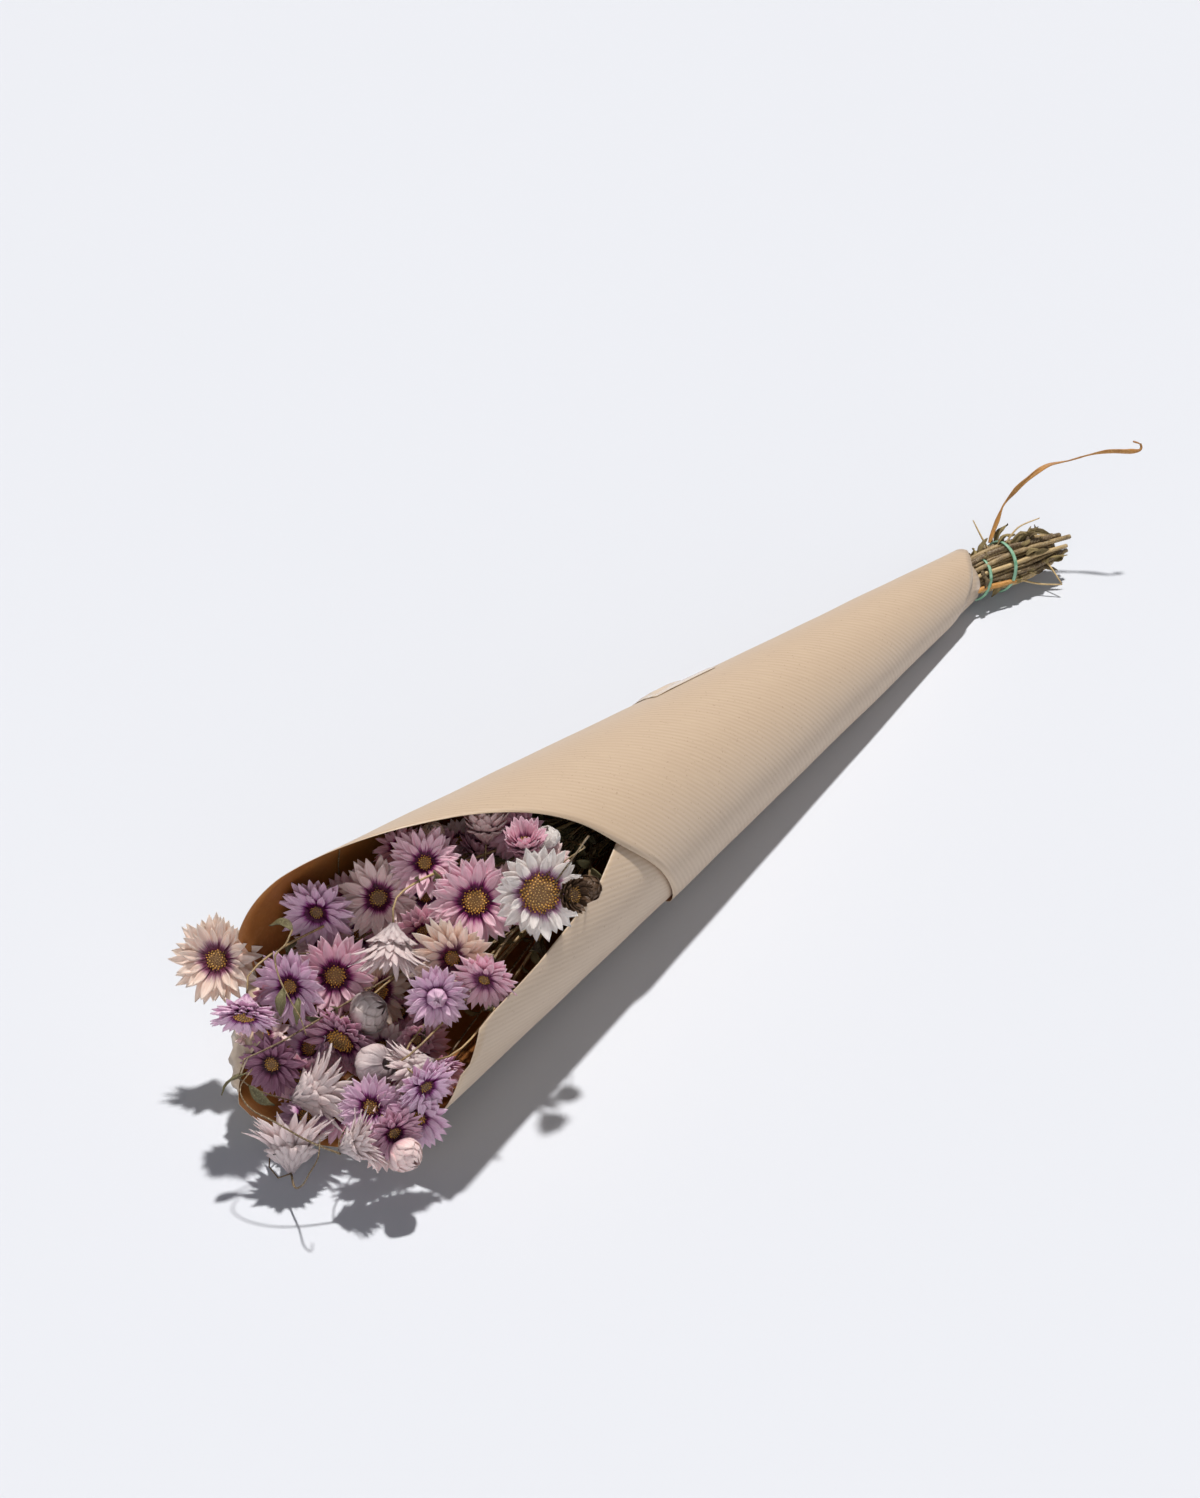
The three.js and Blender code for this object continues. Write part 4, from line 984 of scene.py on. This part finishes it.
def add_knob(bm, head, jitter):
    """Short bracts that bend inwards and close the middle of a head."""
    disc = head.disc
    for row, (share, long, rise, curl) in enumerate(KNOB_ROWS):
        for k in range(SCALES_ROUND):
            turn = tau * (k + 0.5 * row) / SCALES_ROUND
            sizes = (disc * long, disc * 0.95, rise, curl, 0.4)
            start = (disc * share, head.radius * 0.1)
            add_bract(bm, jitter, turn, start, *sizes, 0.1, 0.45)


def add_bud(bm, head, jitter):
    """Closed bud of silky bracts that lie on an egg shape and meet at its tip."""
    radius = head.radius
    length = radius * 1.9
    for row, (start, end, swell) in enumerate(BUD_ROWS):
        for k in range(SCALES_ROUND):
            turn = tau * (k + 0.5 * (row % 2)) / SCALES_ROUND + jitter.uniform(-0.1, 0.1)
            hue = jitter.random()
            slack = jitter.uniform(0.0, 0.08)

            def place(u, t):
                at = start + (end - start) * t
                waist = sin(pi * min(0.985, 0.06 + at * 0.92)) ** 0.72
                reach = radius * swell * (waist + slack * t * t) * (1 + 0.05 * u * u)
                angle = turn + u * 0.66 * max(between(BRACT_OUTLINE, t), 0.85 - t) ** 0.8
                height = at * length - depth_of(head)
                return reach * cos(angle), reach * sin(angle), height

            shaped_grid(bm, BRACT_GRID, place, hue=hue, ring=0.35)


def add_florets(bm, radius, disc, golden, place, jitter):
    """A disc of florets in a spiral, the open ones outside and the closed ones in the middle."""
    along, tone, gold = (bm.verts.layers.float[mark] for mark in FLORET_MARKS)
    count = round(34 + disc * disc * 1.7)
    spacing = disc / sqrt(count)
    seat = radius * 0.02
    bed = bmesh.ops.create_cone(
        bm, cap_ends=True, segments=16, radius1=disc * 0.98, radius2=disc * 0.5, depth=disc * 0.3,
        matrix=place @ Matrix.Translation((0, 0, seat + disc * 0.15)),
    )["verts"]
    for vert in bed:
        vert[tone], vert[gold] = 0.4, golden * 0.3
    for k in range(count):
        share = sqrt((k + 0.5) / count)
        turn = k * GOLDEN_ANGLE
        reach = share * disc * 0.96
        dome = disc * 0.36 * (1 - share**2)
        opened = share > 0.4
        tall = spacing * (1.9 if opened else 1.2) * jitter.uniform(0.75, 1.25)
        thick = spacing * 0.5 * jitter.uniform(0.8, 1.15)
        tilt = Matrix.Rotation(share * 0.5 + jitter.uniform(-0.2, 0.2), 4, "Y")
        foot = Vector((reach * cos(turn), reach * sin(turn), seat + dome + tall * 0.3))
        floret = bmesh.ops.create_cone(
            bm, cap_ends=True, segments=5, depth=tall,
            radius1=thick * 0.6, radius2=thick * (1.05 if opened else 0.4),
            matrix=place @ Matrix.Translation(foot) @ (Matrix.Rotation(turn, 4, "Z") @ tilt),
        )["verts"]
        ripe = clamped(golden + jitter.uniform(0.0, 0.4)) * (0.1 if share > 0.88 else 1)
        for i, vert in enumerate(floret):
            vert[along] = i % 2
            vert[tone] = eased((share + jitter.uniform(-0.1, 0.1) - 0.25) / 0.45)
            vert[gold] = ripe


def make_head(head):
    """One flower head or bud: a piece for its bracts, and one for its florets if it shows any."""
    name = head.name
    jitter = random.Random("bracts " + name)
    bm = marked_bmesh(*BRACT_MARKS)
    if head.form == "bud":
        add_bud(bm, head, jitter)
    else:
        add_calyx(bm, head, jitter)
        add_layers(bm, head, jitter)
    if name in CLOSED_MIDDLES:
        add_knob(bm, head, jitter)
    place = turned_to(centre_of(head), facing_of(head))
    bmesh.ops.transform(bm, matrix=place, verts=bm.verts)
    keep_above_floor(bm)
    slot_name = "silver_bracts" if head.form in ("bud", "back") else "pink_bracts"
    bract = papery_bract(head.tint)
    mesh_piece(bm, "bracts_" + name, bract, slot_name, "head_" + name, wall=BRACT_WALL)
    if head.disc:
        bm = marked_bmesh(*FLORET_MARKS)
        add_florets(bm, head.radius, head.disc, head.golden, place, jitter)
        keep_above_floor(bm)
        node = "disc_" + name if name in SPLIT_DISCS else "head_" + name
        mesh_piece(bm, "florets_" + name, dry_florets(), "florets", node)


def between_heads():
    """Places for smaller heads behind pairs of neighbouring heads: centre, facing and radius."""
    spots = []
    jitter = random.Random(4)
    for i, first in enumerate(HEADS):
        for second in HEADS[i + 1 :]:
            a, b = centre_of(first), centre_of(second)
            if not PAIR_DISTANCE[0] < (a - b).length < PAIR_DISTANCE[1]:
                continue
            spot = (a + b) / 2 - TO_VIEWER * jitter.uniform(8, 12)
            for head in HEADS:
                off = spot - centre_of(head)
                before = off.dot(TO_VIEWER) + BETWEEN_DEPTH
                aside = (off - TO_VIEWER * off.dot(TO_VIEWER)).length
                if before > 0 and aside < head.radius * 1.2:
                    spot -= TO_VIEWER * before
            crowded = any((spot - other).length < BETWEEN_SPACING for other, _, _ in spots)
            if crowded or not inside_mouth(spot, BETWEEN_DEPTH):
                continue
            facing = TO_VIEWER + Vector([jitter.uniform(-0.5, 0.5) for _ in range(3)])
            spots.append((spot, facing.normalized(), jitter.uniform(10, 13.5)))
    return spots


def make_heads_between():
    """Smaller heads behind the others, one piece for each of their tints."""
    meshes = {tint: marked_bmesh(*BRACT_MARKS) for tint in BETWEEN_TINTS}
    florets = marked_bmesh(*FLORET_MARKS)
    for index, (spot, facing, radius) in enumerate(between_heads()):
        jitter = random.Random(2000 + index)
        bm = meshes[BETWEEN_TINTS[index % len(BETWEEN_TINTS)]]
        first = len(bm.verts)
        lift = jitter.choice((0, 8, 24))
        for row, (reach, rise, most) in enumerate(BETWEEN_LAYERS):
            for k in range(most):
                turn = tau * (k + 0.5 * (row % 2) + jitter.uniform(-0.2, 0.2)) / most
                marks = (jitter.random() * 0.6, jitter.uniform(0.6, 1))
                sizes = (radius * reach * 0.8, radius * 0.3, rise + lift, 8, 0.4)
                add_bract(bm, jitter, turn, (radius * 0.2, 0.0), *sizes, *marks, (2, 6))
        place = turned_to(spot, facing)
        bm.verts.ensure_lookup_table()
        bmesh.ops.transform(bm, matrix=place, verts=bm.verts[first:])
        add_florets(florets, radius, radius * 0.26, jitter.uniform(0.4, 0.9), place, jitter)
    for tint, bm in meshes.items():
        keep_above_floor(bm)
        bract = papery_bract(tint)
        mesh_piece(bm, "bracts_between_" + tint, bract, "pink_bracts", wall=BRACT_WALL)
    keep_above_floor(florets)
    mesh_piece(florets, "florets_between", dry_florets(), "florets")


# Stems and leaves


def tail_spots(jitter, fill):
    """Spots of a stem inside the bunch, from its cut end up to the mouth."""
    turn = jitter.uniform(0, tau)
    share = sqrt(jitter.random()) * fill
    spots = []
    for x in (jitter.uniform(LONGEST_END, SHORTEST_END), *TAIL_STATIONS):
        _, radius = bunch_station(x)
        turn += jitter.uniform(-0.25, 0.25)
        spot = bunch_spot(x, turn, radius * share)
        spot.z = max(STEM_REST, spot.z)
        spots.append(spot)
    return spots


def stem_run(head):
    """A stem from the cut end through the cone to its head."""
    jitter = random.Random("stem " + head.name)
    facing = facing_of(head)
    end = centre_of(head) - facing * (depth_of(head) + NECK_GAP)
    middle, radius = bunch_station(BRANCH_START)
    outward = Vector((0, end.y - middle.y, end.z - middle.z))
    start = middle + outward.normalized() * min(radius * 0.7, outward.length * 0.5)
    way = DETOURS.get(head.name) or [end - facing * BRANCH_APPROACH]
    tail_points, branch_points = HEAD_STEM_POINTS
    branch = evenly(curve_through([start, *way, end - facing, end], 8), branch_points)
    tail = evenly(curve_through([*tail_spots(jitter, 0.75), start], 3), tail_points)
    return tail[:-1] + branch


def leafy_line(jitter):
    """A stem without a head, which ends between the heads."""
    tail = tail_spots(jitter, 0.92)
    middle, radius = bunch_station(LEAFY_STATION)
    turn = jitter.uniform(0, tau)
    reach = radius * jitter.uniform(0.3, 1.0)
    y, z = middle.y + reach * sin(turn), middle.z + reach * cos(turn)
    root = Vector((LEAFY_ROOT, y, z))
    tip_x = jitter.uniform(*LEAFY_TIPS)
    side = root.y * 1.25 + jitter.uniform(-8, 8)
    tip = (tip_x, side, root.z + 10 + jitter.uniform(-6, 10))
    return curve_through([*tail, root, tip], 4)


def bare_run(row, jitter):
    """A stem on the outside of the bunch, which dips into it under the paper."""
    turn, end_x, radius = row
    points = []
    for i, x in enumerate((end_x, *BARE_STATIONS)):
        _, reach = bunch_station(x)
        angle = radians(turn + jitter.uniform(-5, 5))
        points.append(bunch_spot(x, angle, reach - radius * (0.2 if i < 4 else 1.2)))
    return evenly(curve_through(points, 4), BARE_STEM_POINTS)


def tapered(points, thick, thin):
    return [thick + (thin - thick) * i / (len(points) - 1) for i in range(len(points))]


def stem_of(kind, line, tone):
    """Run of a stem of some kind along a line of points."""
    count, *radii = kind
    points = evenly(line, count)
    return points, tapered(points, *radii), tone


def make_stems(settings):
    """All stems, straws and twigs of the bunch."""
    runs = []
    for head in HEADS:
        tone = random.Random("stem tone " + head.name).uniform(0, 0.8)
        points = stem_run(head)
        if head.name in DETOURS:
            runs.append((points, tapered(points, *THIN_STEM_RADII), 0.0))
        else:
            runs.append((points, tapered(points, *HEAD_STEM_RADII), tone))
    for index in range(settings.extra_stems):
        jitter = random.Random(900 + index)
        runs.append(stem_of(LEAFY_STEM, leafy_line(jitter), jitter.uniform(0, 0.5)))
    for index, row in enumerate(BARE_STEMS):
        points = bare_run(row, random.Random(40 + index))
        runs.append((points, [row[2] * BARE_STEM_SHARE] * len(points), (index * 0.37) % 1))
    runs += [stem_of(STRAW, curve_through(spots, 6), 0.9) for spots in STRAWS]
    runs += [stem_of(TWIG, curve_through(spots, 6), tone) for tone, spots in TWIGS]
    bm = marked_bmesh("tone", "along")
    add_tubes(bm, runs)
    bmesh.ops.recalc_face_normals(bm, faces=bm.faces)
    straw = plant_fibre("dry_straw_stem", "5E4A32", "C8AC7A", "F0E0B8", 0.55)
    mesh_piece(bm, "bunch_of_stems", straw, "dry_stem", "stem_bunch")
    return runs


def add_leaf(bm, spots, half_width, side, tone, jitter, curl=0.5):
    """One dry leaf along three spots: ovate, folded along its midrib and curled."""
    path = evenly(curve_through(spots, 6), LEAF_STEPS + 1)
    fray = jitter.uniform(0, 50)
    twist = jitter.uniform(-1, 1) * curl

    def place(u, t):
        i = round(t * LEAF_STEPS)
        ahead = direction_at(path, i)
        across = Quaternion(ahead, twist * t) @ square_to(side, ahead)
        half = half_width * between(LEAF_OUTLINE, t)
        crumple = noise.noise(Vector((u * 1.4, t * 4, fray))) * half_width * 0.35
        lifted = abs(u) * half * curl + crumple
        return path[i] + across * u * half + ahead.cross(across) * lifted

    shaped_grid(bm, (4, LEAF_STEPS), place, tone=tone)


def make_small_leaves(settings, runs):
    """Small ovate leaves on the twigs and on the stems inside the mouth."""
    bm = marked_bmesh("along", "across", "tone")
    for index, (*spots, half_width) in enumerate(LEAVES):
        jitter = random.Random(300 + index)
        side = Vector((cos(index * 2.1), sin(index * 2.1), 0.3))
        add_leaf(bm, spots, half_width, side, jitter.uniform(0.1, 0.8), jitter)
    jitter = random.Random(77)
    for points, _, _ in runs[: len(HEADS) + settings.extra_stems]:
        in_mouth = [i for i, p in enumerate(points) if LEAFY_ZONE[0] < p.x < LEAFY_ZONE[1]]
        for _ in range(settings.leaves_per_stem if len(in_mouth) > 2 else 0):
            i = jitter.choice(in_mouth[:-1])
            ahead = direction_at(points, i)
            outward = square_to(Vector([jitter.uniform(-1, 1) for _ in range(3)]), ahead)
            length = jitter.uniform(6, 12)
            middle = points[i] + (ahead * 0.6 + outward * 0.5) * length * 0.5
            tip = middle + (ahead * 0.35 + outward * 0.75) * length * 0.5
            if inside_mouth(tip) and inside_mouth(middle):
                side = ahead.cross(outward)
                spots = (points[i], middle, tip)
                add_leaf(bm, spots, length * 0.2, side, jitter.random(), jitter)
    leaf = plant_fibre("dry_ovate_leaf", "453C2A", "76704C", "A39E78", 0.7)
    mesh_piece(bm, "small_dry_leaves", leaf, "dry_leaf", "stem_bunch", wall=0.2)


def make_withered_leaves(settings):
    """The withered leaves round the stems behind the paper."""
    bm = marked_bmesh("along", "across", "tone")
    for index, (*spots, half_width) in enumerate(WITHERED):
        jitter = random.Random(500 + index)
        side = Vector((cos(index * 1.3), sin(index * 1.3), 0.4))
        add_leaf(bm, spots, half_width * 0.8, side, jitter.random(), jitter, 0.9)
    for index in range(settings.withered_leaves):
        jitter = random.Random(600 + index)
        x = jitter.uniform(*WITHERED_ZONE)
        turn = radians(jitter.uniform(*WITHERED_TURNS))
        root = bunch_spot(x, turn, bunch_station(x)[1] * 0.95)
        outward = Vector((0, sin(turn), cos(turn)))
        length = jitter.uniform(5, 12)
        droop = Vector((-0.5, jitter.uniform(-0.4, 0.4), 0))
        bend = root + outward * length * 0.2 + droop * length * 0.6
        lift = jitter.uniform(-0.2, 0.3)
        droop = Vector((-0.4, jitter.uniform(-0.3, 0.3), 0))
        tip = bend + outward * lift * length + droop * length
        for spot in (root, bend, tip):
            spot.z = max(spot.z, 2.0)
            spot.x = max(spot.x, LONGEST_END)
        side = Vector((jitter.uniform(-1, 1), jitter.uniform(-1, 1), 0.4))
        half_width = jitter.uniform(0.7, 1.7)
        add_leaf(bm, (root, bend, tip), half_width, side, jitter.random(), jitter, 0.9)
    olive = plant_fibre("withered_leaf", "4A3A2C", "86754A", "B4A56E", 0.75)
    mesh_piece(bm, "withered_leaves", olive, "dry_leaf", "stem_bunch", wall=0.25)


def make_strap():
    """Long twisted strap leaf, and the orange leaf stalk that lies across the bands."""
    points = curve_through([row[:3] for row in STRAP], STRAP_STEPS)
    widths = [(i * STRAP_STEPS, row[3]) for i, row in enumerate(STRAP)]
    twists = [(i * STRAP_STEPS, row[4]) for i, row in enumerate(STRAP)]
    last = len(points) - 1
    fold = Vector((0.6, 0, 0.8))

    def place(u, t):
        i = round(t * last)
        half = between(widths, i, eased) * STRAP_NARROWING
        twist = radians(between(twists, i))
        side = (Vector((0, cos(twist), 0)) + fold * sin(twist)).normalized()
        ahead = direction_at(points, i)
        across = square_to(side, ahead)
        crease = noise.noise(Vector((u * 2.2, t * 14, 5))) * 0.35
        lifted = abs(u) * half * 0.45 + crease
        return points[i] + across * u * half + ahead.cross(across) * lifted

    bm = marked_bmesh("along", "across", "tone")
    shaped_grid(bm, (6, last), place, tone=0.6)
    lying = evenly(curve_through([row[:3] for row in STALK], 6), STALK_STEPS + 1)
    stalk_widths = [(k / (len(STALK) - 1), row[3]) for k, row in enumerate(STALK)]

    def place_stalk(u, t):
        i = round(t * STALK_STEPS)
        ahead = direction_at(lying, i)
        across = ahead.cross(TO_VIEWER).normalized()
        half = between(stalk_widths, t)
        return lying[i] + across * u * half + across.cross(ahead) * (1 - u * u) * half * 0.7

    shaped_grid(bm, (4, STALK_STEPS), place_stalk, tone=0.8)
    bmesh.ops.recalc_face_normals(bm, faces=bm.faces)
    leaf = plant_fibre("dry_strap_leaf", "744722", "C28A44", "E4C284", 0.55)
    mesh_piece(bm, "twisted_strap_leaf", leaf, "dry_leaf", "strap_leaf", wall=0.3)


# Stage: floor, light and camera


def add_sun(name, strength, spread, direction, colour):
    """A sun lamp, as soft as its spread in degrees."""
    lamp = bpy.data.lights.new(name, "SUN")
    lamp.energy = strength
    lamp.angle = radians(spread)
    lamp.color = linear(colour)
    sun = scene_object(name, lamp)
    sun.rotation_euler = direction.to_track_quat("-Z", "Y").to_euler()


def make_floor():
    bm = bmesh.new()
    bmesh.ops.create_grid(bm, x_segments=8, y_segments=8, size=FLOOR_REACH)
    mesh = bpy.data.meshes.new("studio_floor")
    bm.to_mesh(mesh)
    bm.free()
    mesh.materials.append(white_board())
    floor = scene_object("studio_floor", mesh)


def make_room_light(strength):
    """Soft light from all round, brightest at the horizon."""
    world = bpy.data.worlds.new("soft_studio")
    world.use_nodes = True
    tree = world.node_tree
    way = add_node(tree, "TexCoord", out="Generated")
    height = add_node(tree, "SeparateXYZ", {0: way}, "Z")
    reach = {"Value": height, "From Min": 0.02, "From Max": 0.26, "To Min": 0.9, "To Max": 0.1}
    glow = add_node(tree, "MapRange", reach, interpolation_type="SMOOTHSTEP")
    power = add_node(tree, "Math", {0: glow, 1: strength}, operation="MULTIPLY")
    background = tree.nodes["Background"]
    background.inputs["Color"].default_value = (*linear("EBEFFA"), 1)
    tree.links.new(power, background.inputs["Strength"])
    bpy.context.scene.world = world


def make_camera():
    lens = bpy.data.cameras.new("photo_camera")
    lens.lens = FOCAL_LENGTH
    lens.sensor_width = SENSOR_WIDTH
    lens.clip_start = 0.05
    camera = scene_object("photo_camera", lens)
    right = (-TO_VIEWER).cross(VIEWER_UP).normalized()
    turned = Matrix((right, VIEWER_UP, TO_VIEWER)).transposed()
    camera.matrix_world = Matrix.Translation(CAMERA_PLACE) @ turned.to_4x4()
    bpy.context.scene.camera = camera
    bpy.context.scene.view_settings.view_transform = "Standard"


# Settings, operators and panel


def length_property(name, description, default):
    return bpy.props.FloatProperty(
        name=name, description=description, default=default, min=0.0, precision=5,
        subtype="DISTANCE", unit="LENGTH",
    )


def colour_property(name, description, hex_colour):
    return bpy.props.FloatVectorProperty(
        name=name, description=description, default=linear(hex_colour), min=0.0, max=1.0,
        subtype="COLOR",
    )


def count_property(name, description, default):
    return bpy.props.IntProperty(name=name, description=description, default=default, min=0)


def strength_property(name, description, default):
    return bpy.props.FloatProperty(name=name, description=description, default=default, min=0.0)


class RHODANTHE_PG_settings(bpy.types.PropertyGroup):
    """Sizes, colours and numbers that a user may change."""

    rib_pitch: length_property("Rib pitch", "Distance from rib to rib of the paper", 0.0022)
    rib_angle: bpy.props.FloatProperty(
        name="Rib angle", description="Turn of the ribs in the flat sheet",
        default=radians(48.2), subtype="ANGLE", unit="ROTATION",
    )
    paper_thickness: length_property("Paper thickness", "Thickness of the paper", 0.00022)
    paper_colour: colour_property("Paper colour", "Colour of the ribs", "C1AB94")
    # Painted shade between the ribs: the groove colour is darker than the paper colour
    groove_shade_colour: colour_property("Groove colour", "Colour between the ribs", "B49C82")
    worn_colour: colour_property("Worn colour", "Colour of the paper's paler clouds", "BCA58C")
    # Painted shade and glow: the inside colour is darker and warmer than the paper, for the shade
    # in the cone and the light through it
    inside_shade_colour: colour_property("Inside colour", "Colour of the smooth inner face", "8A4E1C")
    band_colour: colour_property("Band colour", "Colour of the rubber bands", "649A78")
    extra_stems: count_property("Leafy stems", "Number of stems without a head", 34)
    leaves_per_stem: count_property("Leaves on a stem", "Tries at a leaf on each stem", 4)
    withered_leaves: count_property("Withered leaves", "Loose leaves behind the paper", 40)
    key_strength: strength_property("Key light", "Strength of the key light", 3.9)
    front_strength: strength_property("Front fill", "Strength of the low soft front light", 1.1)
    fill_strength: strength_property("Room light", "Strength of the light from all round", 1.0)


class RHODANTHE_OT_paper(bpy.types.Operator):
    """Model the cone of ribbed paper and its tape"""

    bl_idname = "rhodanthe.paper"
    bl_label = "Paper cone"

    def execute(self, context):
        make_paper(context.scene.rhodanthe)
        make_tape()
        return {"FINISHED"}


class RHODANTHE_OT_bands(bpy.types.Operator):
    """Model the rubber bands"""

    bl_idname = "rhodanthe.bands"
    bl_label = "Rubber bands"

    def execute(self, context):
        make_bands(context.scene.rhodanthe)
        return {"FINISHED"}


class RHODANTHE_OT_stems(bpy.types.Operator):
    """Model the stems with their leaves and the strap leaf"""

    bl_idname = "rhodanthe.stems"
    bl_label = "Stems and leaves"

    def execute(self, context):
        runs = make_stems(context.scene.rhodanthe)
        make_small_leaves(context.scene.rhodanthe, runs)
        make_withered_leaves(context.scene.rhodanthe)
        make_strap()
        return {"FINISHED"}


class RHODANTHE_OT_heads(bpy.types.Operator):
    """Model the flower heads and buds"""

    bl_idname = "rhodanthe.heads"
    bl_label = "Flower heads"

    def execute(self, context):
        for head in HEADS:
            make_head(head)
        make_heads_between()
        return {"FINISHED"}


class RHODANTHE_OT_stage(bpy.types.Operator):
    """Set the floor, the light and the camera"""

    bl_idname = "rhodanthe.stage"
    bl_label = "Floor, light and camera"

    def execute(self, context):
        settings = context.scene.rhodanthe
        make_floor()
        add_sun("key_light", settings.key_strength, 3.0, KEY_DIRECTION, "FFFBF6")
        # The front fill stands in for a low reflector card beside the camera
        add_sun("front_fill", settings.front_strength, 60, FRONT_DIRECTION, "FFFFFF")
        make_room_light(settings.fill_strength)
        make_camera()
        return {"FINISHED"}


OPERATORS = (
    RHODANTHE_OT_paper,
    RHODANTHE_OT_bands,
    RHODANTHE_OT_stems,
    RHODANTHE_OT_heads,
    RHODANTHE_OT_stage,
)


class RHODANTHE_PT_panel(bpy.types.Panel):
    """Lists the settings and the steps of the model"""

    bl_idname = "RHODANTHE_PT_panel"
    bl_label = "Dried rhodanthe"
    bl_space_type = "VIEW_3D"
    bl_region_type = "UI"
    bl_category = "Rhodanthe"

    def draw(self, context):
        settings = context.scene.rhodanthe
        for name in settings.__annotations__:
            self.layout.prop(settings, name)
        for operator in OPERATORS:
            self.layout.operator(operator.bl_idname)


CLASSES = (RHODANTHE_PG_settings, *OPERATORS, RHODANTHE_PT_panel)


def register():
    for cls in CLASSES:
        bpy.utils.register_class(cls)
    bpy.types.Scene.rhodanthe = bpy.props.PointerProperty(type=RHODANTHE_PG_settings)


def unregister():
    del bpy.types.Scene.rhodanthe
    for cls in reversed(CLASSES):
        bpy.utils.unregister_class(cls)


def main():
    register()
    bpy.ops.rhodanthe.paper()
    bpy.ops.rhodanthe.bands()
    bpy.ops.rhodanthe.stems()
    bpy.ops.rhodanthe.heads()
    bpy.ops.rhodanthe.stage()


if __name__ == "__main__":
    main()
